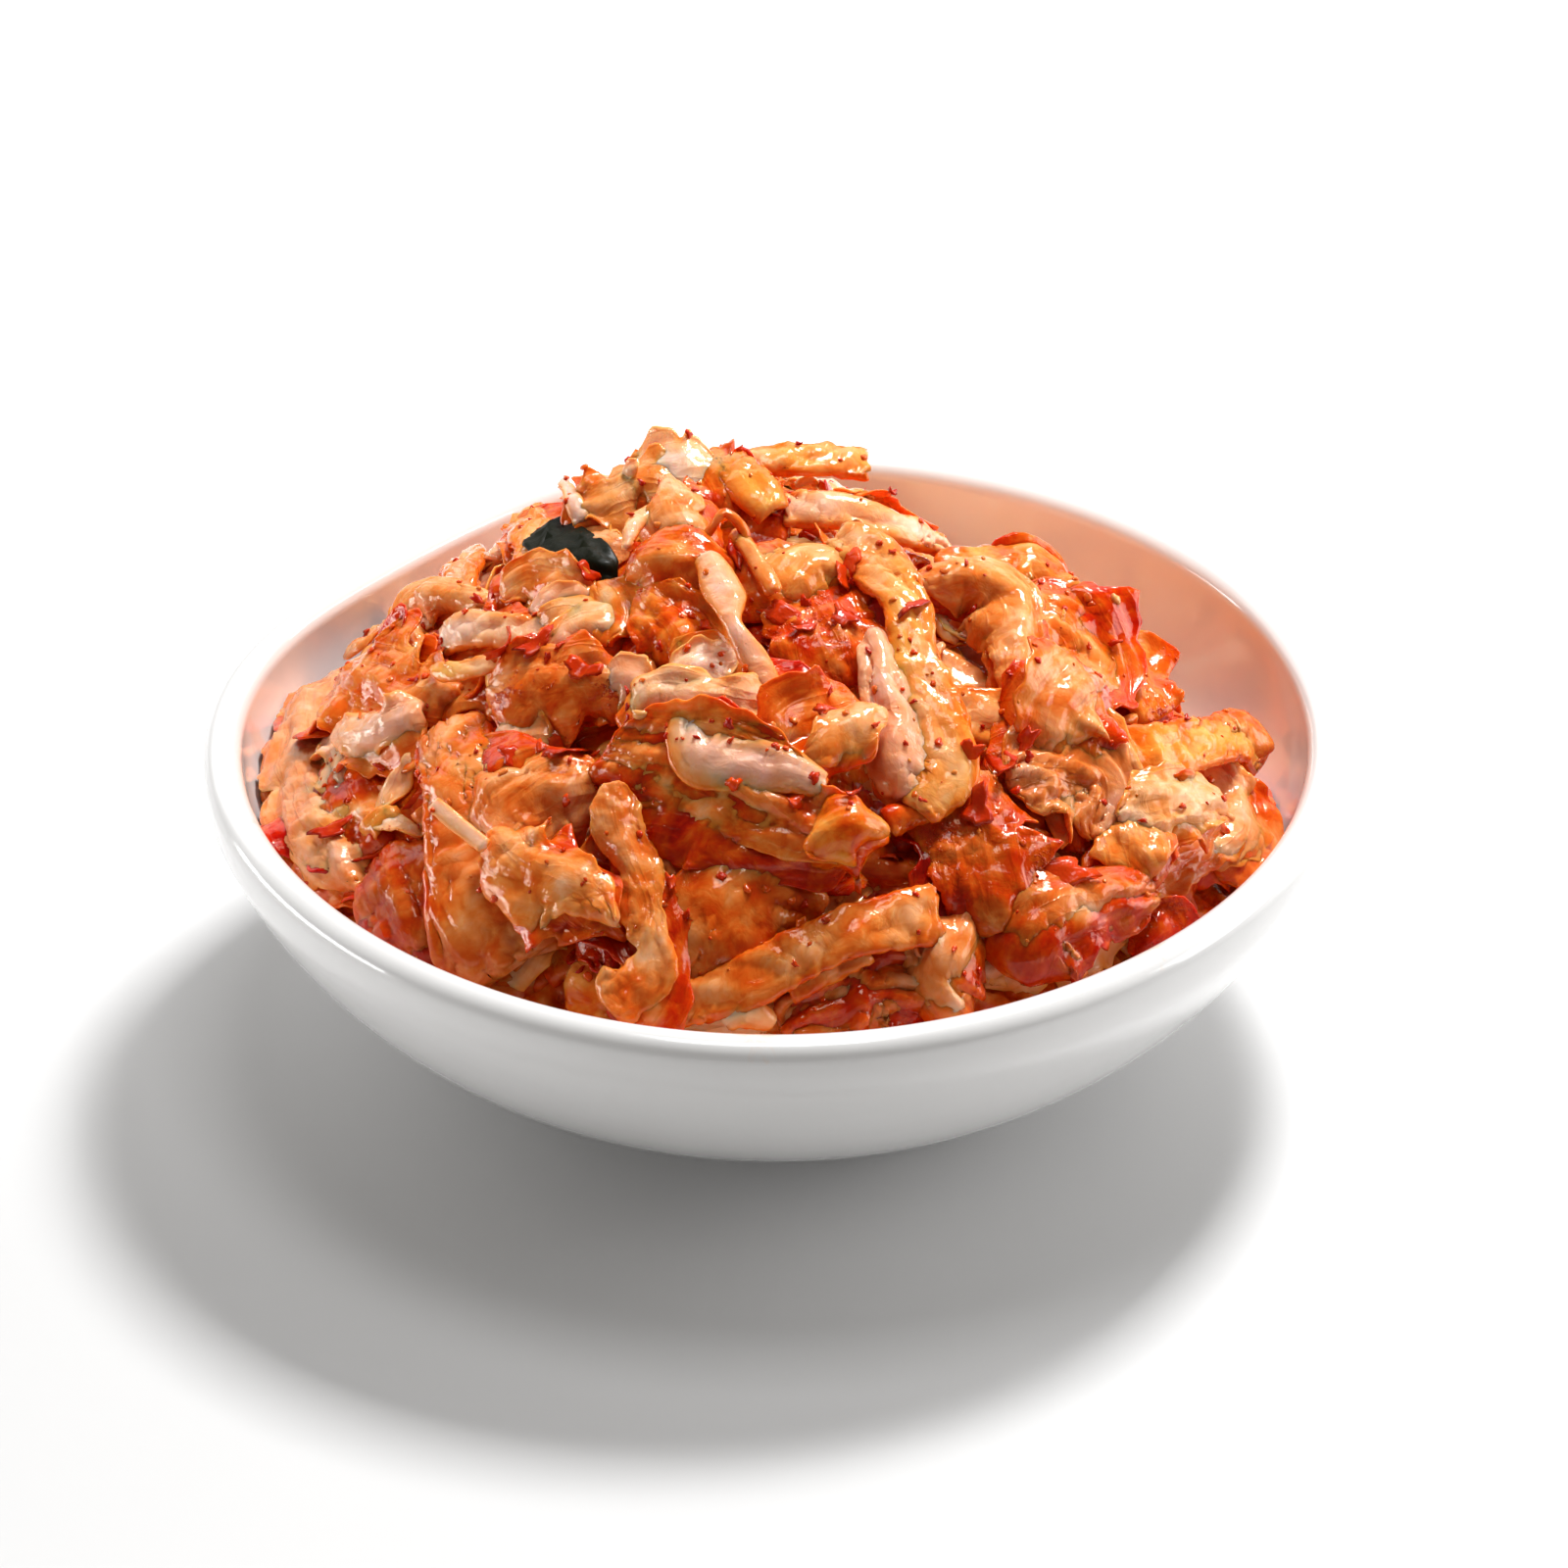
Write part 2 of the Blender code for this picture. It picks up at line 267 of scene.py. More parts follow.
def glazeMaterial():
    # White glaze: a faint warm and cool cloudiness, a soft ripple in its gloss, and a few
    # thin smears of sauce near the heap.
    s = Shader("white glaze")
    cloud = s.noise(28, 3, 0.5)
    spill = s.noise(420, 4, 0.65, 0.5)
    colour = s.mix(cloud, (0.80, 0.795, 0.785), (0.86, 0.855, 0.85))
    smear = 0.0
    for x, y, z, size, strength in smearSpots:
        away = s.node("ShaderNodeVectorMath", {"operation": "DISTANCE"},
                      {0: s.place(), 1: (x * mm, y * mm, z * mm)}, out="Value")
        patch = (1.0 - away * (1 / (size * mm)) + (spill - 0.5) * 1.6).step(0.1, 0.75) * strength
        smear = patch if isinstance(smear, float) else smear.largest(patch)
    colour = s.mix(smear, colour, (0.90, 0.42, 0.13))
    ripple = s.noise(70, 2, 0.5)
    pit = s.noise(900, 2, 0.5)
    return s.finish(
        Base_Color=colour,
        Roughness=0.12 + 0.10 * cloud + 0.1 * smear,
        Coat_Weight=0.6,
        Coat_Roughness=0.05,
        Normal=s.bump(ripple + pit * 0.04, 0.12, 0.0012),
    )


def floorMaterial():
    # A plain pale board, barely mottled.
    s = Shader("pale floor")
    tone = s.noise(6, 2, 0.5)
    colour = s.mix(tone, (0.68, 0.68, 0.68), (0.71, 0.71, 0.71))
    return s.finish(Base_Color=colour, Roughness=0.7 + 0.1 * tone)


looks = dict(
    cabbage=cabbageMaterial(),
    flake=flakeMaterial(),
    green=greenMaterial(),
    seed=seedMaterial(),
    glaze=glazeMaterial(),
    floor=floorMaterial(),
)
print("materials made:", len(looks))


def makePiece(name, points, faces, look, paint=None, smooth=True):
    # A mesh object at the origin from points in millimetres and an array of quads or triangles.
    mesh = bpy.data.meshes.new(name)
    sides = faces.shape[1]
    mesh.vertices.add(len(points))
    mesh.vertices.foreach_set("co", (np.asarray(points) * mm).ravel())
    mesh.loops.add(faces.size)
    mesh.loops.foreach_set("vertex_index", faces.ravel().astype(np.int32))
    mesh.polygons.add(len(faces))
    mesh.polygons.foreach_set("loop_start", np.arange(len(faces), dtype=np.int32) * sides)
    mesh.polygons.foreach_set("use_smooth", np.full(len(faces), smooth))
    mesh.update(calc_edges=True)
    for key, values in (paint or {}).items():
        if key == "flow":
            layer = mesh.attributes.new(key, "FLOAT_VECTOR", "POINT")
            layer.data.foreach_set("vector", values.ravel())
        elif values.ndim == 2:
            layer = mesh.attributes.new(key, "FLOAT_COLOR", "POINT")
            layer.data.foreach_set("color", np.column_stack((values, np.ones(len(values)))).ravel())
        else:
            layer = mesh.attributes.new(key, "FLOAT", "POINT")
            layer.data.foreach_set("value", values.ravel())
    mesh.materials.append(look)
    piece = bpy.data.objects.new(name, mesh)
    bpy.context.scene.collection.objects.link(piece)
    return piece


def gridFaces(index):
    # Quads over a grid of vertex numbers.
    return np.stack((index[:-1, :-1], index[1:, :-1], index[1:, 1:], index[:-1, 1:]), -1).reshape(-1, 4)


class Pile:
    # Many surfaces gathered into one mesh, with their painted values.
    def __init__(self):
        self.points, self.faces, self.paint, self.count = [], [], {}, 0

    def add(self, points, faces, **paint):
        self.points.append(points)
        self.faces.append(faces + self.count)
        for key, values in paint.items():
            self.paint.setdefault(key, []).append(values)
        self.count += len(points)

    def piece(self, name, look, smooth=True):
        paint = {key: np.concatenate(values) for key, values in self.paint.items()}
        points = keepInside(np.concatenate(self.points))
        made = makePiece(name, points, np.concatenate(self.faces), look, paint, smooth)
        print(name, len(made.data.polygons), "faces")
        return made


def bump(angle, middle, spread):
    # bell of height 1 round one direction
    away = (angle - middle + math.pi) % (2 * math.pi) - math.pi
    return np.exp(-(away / spread) ** 2)


def swell(share, lead, tail):
    return (1 - (1 - np.clip(share, 0, 1)) ** lead) ** tail


bowl = dict(
    lipRound=2.0, lipLean=0.2, footRadius=21.6, footHeight=2.0, footWidth=2.8, footEase=0.4,
    floorHeight=6.0, undersideHeight=1.3, turnSteps=288,
)


def outerRadius(z):
    share = (z - bowl["footHeight"]) / (bowlHeight - 1.6 * bowl["lipRound"] - bowl["footHeight"])
    return bowl["footRadius"] + (bowlRadius - bowl["footRadius"]) * swell(share, 1.4, 0.52)


def innerRadius(z):
    rim = bowlRadius - bowl["lipLean"] - 2 * bowl["lipRound"]
    share = (z - bowl["floorHeight"]) / (bowlHeight - bowl["lipRound"] - bowl["floorHeight"])
    return rim * swell(share, 1.6, 0.32)


def unevenness(angle, z):
    # Share left of the radius where one side is pushed in, and how far the lip drops there and in front.
    height = np.clip((z - bowl["footHeight"]) / (bowlHeight - bowl["footHeight"]), 0, 1)
    side = bump(angle, math.radians(141), 0.39)
    return 1 - 0.057 * side * height, height * (0.6 * side + 1.2 * bump(angle, math.radians(-90), 0.7))


def press(x, y, z):
    narrow, drop = unevenness(np.arctan2(y, x), z)
    return x * narrow, y * narrow, z - drop


def keepInside(points):
    # Points past the bowl's inner wall are drawn in to it along the radius.
    x, y, z = points.T
    narrow, drop = unevenness(np.arctan2(y, x), z)
    limit = (innerRadius(np.minimum(z + drop, bowlHeight - bowl["lipRound"])) - 0.25) * narrow
    share = np.minimum(np.maximum(limit, 1) / np.maximum(np.hypot(x, y), 1), 1)
    share = np.where(z + drop > bowlHeight - 0.5, 1, share)
    return points * np.stack((share, share, np.ones_like(share)), -1)


def makeBowl():
    # A profile (radius, height) turned round the axis: radius * cos, radius * sin, height, then pressed.
    topOfWall = bowlHeight - bowl["lipRound"]
    inside = bowl["floorHeight"] + (topOfWall - bowl["floorHeight"]) * (np.arange(1, 40) / 40) ** 2.4
    lipMiddle = bowlRadius - bowl["lipLean"] - bowl["lipRound"]
    turn = np.pi * (1 - np.arange(17) / 16)
    outside = bowl["footHeight"] + (bowlHeight - 2.4 * bowl["lipRound"] - bowl["footHeight"]) \
        * (np.arange(30, 0, -1) / 30) ** 2
    foot, width, ease = bowl["footRadius"], bowl["footWidth"], bowl["footEase"]
    corner = np.pi / 2 * np.arange(5) / 4
    profile = np.concatenate((
        [(0.0, bowl["floorHeight"])],
        np.column_stack((innerRadius(inside), inside)),
        np.column_stack((lipMiddle + bowl["lipRound"] * np.cos(turn), topOfWall + bowl["lipRound"] * np.sin(turn))),
        np.column_stack((outerRadius(outside), outside)),
        [(foot + 0.15, bowl["footHeight"] + 0.05), (foot, bowl["footHeight"] - 0.4)],
        np.column_stack((foot - ease + ease * np.cos(corner), ease - ease * np.sin(corner))),
        np.column_stack((foot - width + ease - ease * np.sin(corner), ease - ease * np.cos(corner))),
        [(foot - width - 0.3, bowl["undersideHeight"]), (0.0, bowl["undersideHeight"])],
    ))
    steps = bowl["turnSteps"]
    angle = np.linspace(0, 2 * np.pi, steps, endpoint=False)
    r, z = profile[1:-1, 0][:, None], profile[1:-1, 1][:, None]
    x, y, z = press(r * np.cos(angle), r * np.sin(angle), z + 0 * angle)
    rings = np.stack((x, y, z), -1).reshape(-1, 3)
    points = np.concatenate((rings, [(0, 0, profile[0, 1]), (0, 0, profile[-1, 1])]))
    rows = len(profile) - 2
    index = np.arange(rows * steps).reshape(rows, steps)
    index = np.column_stack((index, index[:, 0]))
    quads = gridFaces(index)
    first, last = index[0], index[-1]
    top, bottom = len(points) - 2, len(points) - 1
    caps = np.concatenate((
        np.column_stack((np.full(steps, top), first[:-1], first[1:])),
        np.column_stack((np.full(steps, bottom), last[1:], last[:-1])),
    ))
    triangles = np.concatenate((quads[:, [0, 1, 2]], quads[:, [0, 2, 3]], caps))
    return makePiece("bowlGlazed", points, triangles, looks["glaze"])


bowlPiece = makeBowl()
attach(bowlPiece, "root")
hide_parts("bowl")
print("bowl made")


heap = dict(
    top=(-5.0, 12.0, 56.0), slope=1.7, edgeHeight=27.0, edgeTilt=2.5, reach=54.5, clearance=0.45,
    bareWall=(math.radians(32), 0.42, 6.5),
    hollows=((44, 16, 12, 18, 7.0), (21, 22, 10, 13, 4.0), (-4, 36, 42, 13, 4.0)),
)


def edgeHeight(angle):
    middle, spread, depth = heap["bareWall"]
    return heap["edgeHeight"] - heap["edgeTilt"] * np.sin(angle) - depth * bump(angle, middle, spread)


def bulkHeight(x, y):
    # From the top, the height falls by a power of the way to the edge, less a few hollows.
    topX, topY, topZ = heap["top"]
    dx, dy = x - topX, y - topY
    angle = np.arctan2(dy, dx)
    ahead = np.cos(angle) * topX + np.sin(angle) * topY
    reach = np.sqrt(ahead ** 2 - (topX ** 2 + topY ** 2 - heap["reach"] ** 2)) - ahead
    way = np.clip(np.hypot(dx, dy) / reach, 0, 1)
    z = edgeHeight(angle) + (topZ - edgeHeight(angle)) * (1 - way ** heap["slope"])
    for atX, atY, wideX, wideY, depth in heap["hollows"]:
        z = z - depth * np.exp(-((x - atX) / wideX) ** 2 - ((y - atY) / wideY) ** 2)
    return z


def bulkNormal(x, y):
    # Upward normal of the bulk, from its slopes over one millimetre.
    dx = bulkHeight(x + 0.5, y) - bulkHeight(x - 0.5, y)
    dy = bulkHeight(x, y + 0.5) - bulkHeight(x, y - 0.5)
    n = np.stack((-dx, -dy, np.ones_like(dx)), -1)
    return n / np.linalg.norm(n, axis=-1, keepdims=True)


def ripples(x, y, size, seed, count=8):
    # Uneven waves, about -1 to 1: a sum of sines in scattered directions and lengths round one size.
    rng = np.random.default_rng(seed)
    total = np.zeros(np.broadcast(x, y).shape)
    for _ in range(count):
        way, phase, length = rng.uniform(0, 2 * np.pi), rng.uniform(0, 2 * np.pi), size * rng.uniform(0.7, 1.6)
        total += np.sin((x * np.cos(way) + y * np.sin(way)) * 2 * np.pi / length + phase)
    return total / math.sqrt(count) / 1.4


def creases(x, y, size, seed, sharp):
    # Thin raised lines, 0 to 1: one less the distance of uneven waves from zero, raised to a power.
    return np.clip(1 - np.abs(ripples(x, y, size, seed)), 0, 1) ** sharp


flesh = dict(  # cabbage before any oil: heart, leaf and stem tones
    white=(0.98, 0.65, 0.57), cream=(0.98, 0.57, 0.38), yellow=(0.99, 0.55, 0.18), pink=(0.96, 0.52, 0.44),
    mauve=(0.87, 0.49, 0.44), brown=(0.74, 0.35, 0.20),
)

core = dict(
    rings=170, steps=420, sink=3.6,
    folds=1.5, foldSize=6.0, wrinkles=0.7, wrinkleSize=2.6, film=1.1, paste=0.22,
)


def makeCore():
    # A disc of rings: bulk height less a sink, with folds and wrinkles of packed leaf;
    # closed below by the bowl's curve.
    angle = np.linspace(0, 2 * np.pi, core["steps"], endpoint=False)
    edge = edgeHeight(angle) - 1.5
    reach = innerRadius(edge) - heap["clearance"]
    share = (np.arange(1, core["rings"] + 1) / core["rings"])[:, None] ** 0.8
    x, y = share * reach * np.cos(angle), share * reach * np.sin(angle)
    wx, wy = x + 1.6 * ripples(x, y, 8, 14), y + 1.6 * ripples(x, y, 8, 15)
    folds = creases(wx, wy, core["foldSize"], 11, 1.3)
    wrinkles = creases(wx, wy, core["wrinkleSize"], 12, 1.5)
    relief = core["folds"] * (folds - 0.5) + core["wrinkles"] * (wrinkles - 0.5) + 0.12 * ripples(x, y, 1.0, 13)
    z = bulkHeight(x, y) - core["sink"] + relief
    z = z * (1 - share ** 12) + edge * share ** 12
    x, y, _ = press(x, y, z)
    lower = []
    for part in (0.75, 0.5, 0.3, 0.15, 0.05):
        level = bowl["floorHeight"] + 0.45 + (edge - bowl["floorHeight"] - 0.45) * part
        r = innerRadius(level - 0.45) - heap["clearance"]
        lower.append(np.stack(press(r * np.cos(angle), r * np.sin(angle), level), -1))
    allRings = np.concatenate((np.stack((x, y, z), -1), lower))
    rows, steps = allRings.shape[:2]
    peak = float(bulkHeight(np.array(0.0), np.array(0.0))) - core["sink"]
    points = np.concatenate((allRings.reshape(-1, 3), [(0, 0, peak)], [(0, 0, bowl["floorHeight"] + 0.6)]))
    index = np.arange(rows * steps).reshape(rows, steps)
    index = np.column_stack((index, index[:, 0]))
    quads = gridFaces(index)
    top, bottom = len(points) - 2, len(points) - 1
    caps = np.concatenate((
        np.column_stack((np.full(steps, top), index[0][:-1], index[0][1:])),
        np.column_stack((np.full(steps, bottom), index[-1][1:], index[-1][:-1])),
    ))
    triangles = np.concatenate((quads[:, [0, 1, 2]], quads[:, [0, 2, 3]], caps))
    height = np.zeros(len(points))
    height[:relief.size] = relief.ravel() / core["folds"]
    tone = np.clip(0.5 + 0.5 * ripples(points[:, 0], points[:, 1], 9, 16), 0, 1)[:, None]
    paint = dict(
        flesh=np.array(flesh["white"]) * tone + np.array(flesh["brown"]) * (1 - tone),
        film=np.clip(core["film"] - 0.9 * height, 0.2, 3.5),
        paste=np.clip(core["paste"] - 0.35 * height, 0, 1),
        flow=points * (1.0, 0.4, 1.0),
        crease=np.full(len(points), 0.7),
    )
    return makePiece("cabbageCore", points, triangles, looks["cabbage"], paint)


corePiece = makeCore()
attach(corePiece, "root")
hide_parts("kimchi")
print("core made")


leafKinds = dict(
    # mm: thick at the middle and at the rim, rib, ruffle, pleats, folds, crinkle, tuck and step;
    # camber in radians at the sides; waves for each 20 mm; wide multiplies the widths
    leaf=dict(thick=0.85, rim=0.26, rib=0.3, camber=0.6, curl=1.6, ruffle=1.0, waves=3.4, pleat=5.0, pleats=0.22,
              folds=0.24, foldSize=4.2, crinkle=0.14, ragged=0.34, blunt=1.1, veins=0.5, tuck=1.3, wide=1.5,
              step=0.34, edgeOil=0.15, edge=0.5, crease=0.85),
    stem=dict(thick=2.0, rim=1.4, rib=0, camber=0.4, curl=0, ruffle=0.1, waves=1.5, pleat=4.0, pleats=0, folds=0.25,
              foldSize=2.6, crinkle=0.07, ragged=0.05, blunt=0.25, veins=0.2, tuck=0.8, wide=1.1, step=0.42, edgeOil=0.6, edge=0.35, crease=0.15),
    strip=dict(thick=1.4, rim=1.1, rib=0, camber=0.25, curl=0.5, ruffle=0.15, waves=1.5, pleat=4.0, pleats=0, folds=0.28,
               foldSize=2.4, crinkle=0.09, ragged=0.07, blunt=0.16, veins=0.1, tuck=0.5, wide=1.05, step=0.38, edgeOil=0.6, edge=0.25, crease=0.2),
    rib=dict(thick=1.0, rim=0.5, rib=0, camber=0.6, curl=0, ruffle=0.25, waves=2.5, pleat=2.2, pleats=0.08, folds=0.12,
             foldSize=1.8, crinkle=0.04, ragged=0.08, blunt=0.5, veins=0, tuck=0.4, wide=1.0, step=0.3, edgeOil=0.6, edge=0.4, crease=0.2),
)

towardsFront = np.array((0.0, -0.84, 0.54))  # the side the leaves in front lean to


def smoothCurve(stops, share):
    # Catmull-Rom: a smooth curve through the stops, as share runs from 0 to 1 over them.
    ends = np.vstack((2 * stops[0] - stops[1], stops, 2 * stops[-1] - stops[-2]))
    place = share * (len(stops) - 1)
    k = np.minimum(place.astype(int), len(stops) - 2)
    t = (place - k)[:, None]
    a, b, c, d = ends[k], ends[k + 1], ends[k + 2], ends[k + 3]
    return 0.5 * (2 * b + (c - a) * t + (2 * a - 5 * b + 4 * c - d) * t ** 2 + (3 * b - a - 3 * c + d) * t ** 3)


def unit(v):
    return v / np.maximum(np.linalg.norm(v, axis=-1, keepdims=True), 1e-9)


def curveFrame(stops, rows, lean, roll, tuck):
    # Along the middle line: places, widths, lengths run, and the across and outward directions.
    fine = smoothCurve(stops, np.linspace(0, 1, 240))
    run = np.concatenate(([0], np.cumsum(np.linalg.norm(np.diff(fine[:, :3], axis=0), axis=1))))
    even = np.linspace(0, 1, rows)
    u = 0.55 * even + 0.45 * (1 - np.cos(np.pi * even)) / 2
    line = np.stack([np.interp(u * run[-1], run, fine[:, k]) for k in range(4)], -1)
    middle, width = line[:, :3], np.maximum(line[:, 3], 0.4)
    along = unit(np.gradient(middle, axis=0))
    outward = unit((1 - lean) * bulkNormal(middle[:, 0], middle[:, 1]) + lean * towardsFront)
    middle = middle - outward * (tuck * np.abs(2 * u - 1) ** 4)[:, None]
    outward = unit(outward - along * np.sum(outward * along, axis=1, keepdims=True))
    across = np.cross(outward, along)
    turn = np.radians(roll[0] + (roll[1] - roll[0]) * u)[:, None]
    across, outward = across * np.cos(turn) + outward * np.sin(turn), outward * np.cos(turn) - across * np.sin(turn)
    return middle, width, u, u * run[-1], run[-1], across, outward


def leafSheet(stops, seed, tones, film, paste=0.05, lean=0.5, roll=(0, 0), **shape):
    # A closed leaf over (along, across). Its sheet is the middle line, plus the across direction bent
    # to an arc, plus, along the outward direction, pleats (a cosine that also leans sideways), long
    # folds and crinkles (raised lines), and ruffles that grow to the sides. The two faces stand half
    # a thickness off the sheet and meet in round edges.
    stops = np.asarray(stops, float)
    stops[:, 3] *= shape["wide"]
    size = np.linalg.norm(np.diff(stops[:, :3], axis=0), axis=1).sum()
    rows = int(np.clip(size / shape["step"], 14, 120))
    middle, width, u, s, length, across, outward = curveFrame(stops, rows, lean, roll, shape["tuck"])
    columns = int(np.clip(width.max() / shape["step"], 12, 64))
    v = -np.cos(np.pi * np.arange(columns) / (columns - 1))
    rng = np.random.default_rng(seed)
    pleats, folds = shape["pleats"] * rng.uniform(0.5, 1.5), shape["folds"] * rng.uniform(0.6, 1.5)

    blunt = max(shape["blunt"] * width.mean() / 2, 0.3)
    nearEnd = np.minimum(s, length - s)
    ending = np.sqrt(np.maximum(1 - (1 - np.clip(nearEnd / blunt, 0, 1)) ** 2, 0)) * 0.93 + 0.07
    tear = [1 + shape["ragged"] * (ripples(s, 0 * s, 6.0, seed + k) + 0.3 * ripples(s, 0 * s, 1.8, seed + k + 7))
            for k in (1, 2)]
    side = 0.5 * np.where(v[None, :] < 0, (width * ending * tear[0])[:, None], (width * ending * tear[1])[:, None])
    q = side * v[None, :]
    s2 = np.broadcast_to(s[:, None], q.shape)
    rim = np.abs(v)[None, :]

    camber = np.asarray(shape["camber"], float) * (1 - shape["curl"] * rng.uniform(0, 1, 2))
    bend = np.where(v < 0, camber[0], camber[1])[None, :]
    bend = np.where(np.abs(bend) < 0.02, 0.02, bend)
    arc = side * np.sign(v)[None, :] * np.sin(np.abs(bend) * rim) / np.abs(bend)
    lift = -side * (1 - np.cos(bend * rim)) / bend

    sw, qw = s2 + 1.2 * ripples(s2, q, 9, seed + 18), q + 0.8 * ripples(s2, q, 8, seed + 19)
    phase = 2 * np.pi * qw / shape["pleat"] + 1.6 * ripples(s2 / 2.5, q, 8, seed + 20)
    gate = np.clip(0.55 + 0.8 * ripples(s2 / 1.5, q, 9, seed + 21), 0, 1.2)
    arc = arc - 0.4 * pleats * gate * np.sin(phase)
    crest = np.cos(phase)
    longFold = creases(sw / 2.6, qw, shape["foldSize"], seed + 22, 2.0)
    shortFold = creases(sw / 1.8 + 0.3 * qw, qw, shape["foldSize"] * 0.42, seed + 23, 2.2)
    relief = pleats * gate * crest + folds * 1.8 * (longFold - 0.4) \
        + shape["crinkle"] * 2.0 * (shortFold - 0.3) + 0.25 * shape["crinkle"] * ripples(s2, q, 0.9, seed + 24)
    arc = arc + 0.6 * folds * ripples(s2 / 3, q, 4, seed + 25)
    far = np.where(v < 0, 0.0, 40.0)[None, :] + 0.15 * q
    frill = 1.3 * ripples(s2, far, 20 / shape["waves"], seed + 27) + 0.25 * ripples(s2, far, 8 / shape["waves"], seed + 28)
    lift = lift + relief * (1 - 0.5 * rim ** 6) + shape["ruffle"] * rim ** 2.2 * frill
    comb = (s2 - np.abs(q) * 1.1) / 4.5 + 0.25 * ripples(s2, q, 7, seed + 26)
    vein = np.exp(-((comb - np.floor(comb) - 0.5) / 0.09) ** 2) * (1 - rim ** 3) * shape["veins"]
    spine = np.exp(-(q / 1.1) ** 2) * min(shape["rib"] * 2, 1.0)
    lift = lift + 0.20 * vein + shape["rib"] * spine
    sheet = middle[:, None] + across[:, None] * arc[..., None] + outward[:, None] * lift[..., None]

    facing = unit(np.cross(np.gradient(sheet, axis=0), np.gradient(sheet, axis=1)) + 1e-6 * outward[:, None])
    thick = shape["rim"] + (shape["thick"] - shape["rim"]) * (1 - rim ** 2) + 0 * q
    roundness = np.maximum(shape["edge"] * thick, 0.15)
    inSide = np.clip((1 - rim) * side / roundness, 0, 1)
    inEnd = np.clip(nearEnd[:, None] / roundness, 0, 1)
    half = 0.5 * thick * np.sqrt(1 - (1 - inSide) ** 2) * np.sqrt(1 - (1 - inEnd) ** 2)
    upper = sheet + facing * half[..., None]
    lower = sheet - facing * half[..., None]

    rows, columns = q.shape
    top = np.arange(rows * columns).reshape(rows, columns)
    under = top.copy()
    under[1:-1, 1:-1] = rows * columns + np.arange((rows - 2) * (columns - 2)).reshape(rows - 2, columns - 2)
    faces = np.concatenate((gridFaces(top), gridFaces(under)[:, ::-1]))
    points = np.concatenate((upper.reshape(-1, 3), lower[1:-1, 1:-1].reshape(-1, 3)))

    depth = np.clip(relief / (pleats + folds + 0.15), -1, 1)
    drift = np.clip(0.5 + 0.6 * ripples(s2, q, 9, seed + 30), 0, 1)[..., None]
    tone = np.array(flesh[tones[0]]) * (1 - drift) + np.array(flesh[tones[1]]) * drift
    pale = np.clip(0.3 * depth + 0.4 * spine + 0.5 * vein, 0, 1)[..., None]
    tone = tone * (1 - 0.5 * pale) + np.array(flesh["white"]) * 0.5 * pale
    # painted glow: the rim is tinted towards the yellow tone to stand for light shining through the thin leaf edge, not
    # a colour the leaf has
    rimGlow = np.broadcast_to(0.8 * rim ** 6, q.shape)[..., None]
    tone = tone * (1 - rimGlow) + np.array(flesh["yellow"]) * rimGlow
    flow = np.stack((s2 * 0.16, q, np.full(q.shape, seed * 1.7)), -1)
    oil = film * (0.45 + 0.4 * film) * (1.25 + 0.5 * ripples(s2, q, 6, seed + 31) + 0.2 * ripples(s2, q, 2.2, seed + 32)
                  - 0.35 * depth) - 0.2 * vein + shape["edgeOil"] * rim ** 3
    grains = paste + 0.16 * ripples(s2, q, 7, seed + 33) - 0.12 * depth

    def both(values):
        return np.concatenate((values.reshape(rows * columns, -1), values[1:-1, 1:-1].reshape(-1, values.shape[2])))

    return points, faces, dict(
        flesh=both(tone), film=both(np.clip(oil, 0.06, 3.2)[..., None])[:, 0], paste=both(grains[..., None])[:, 0],
        flow=both(flow), crease=np.full(len(points), shape["crease"]))


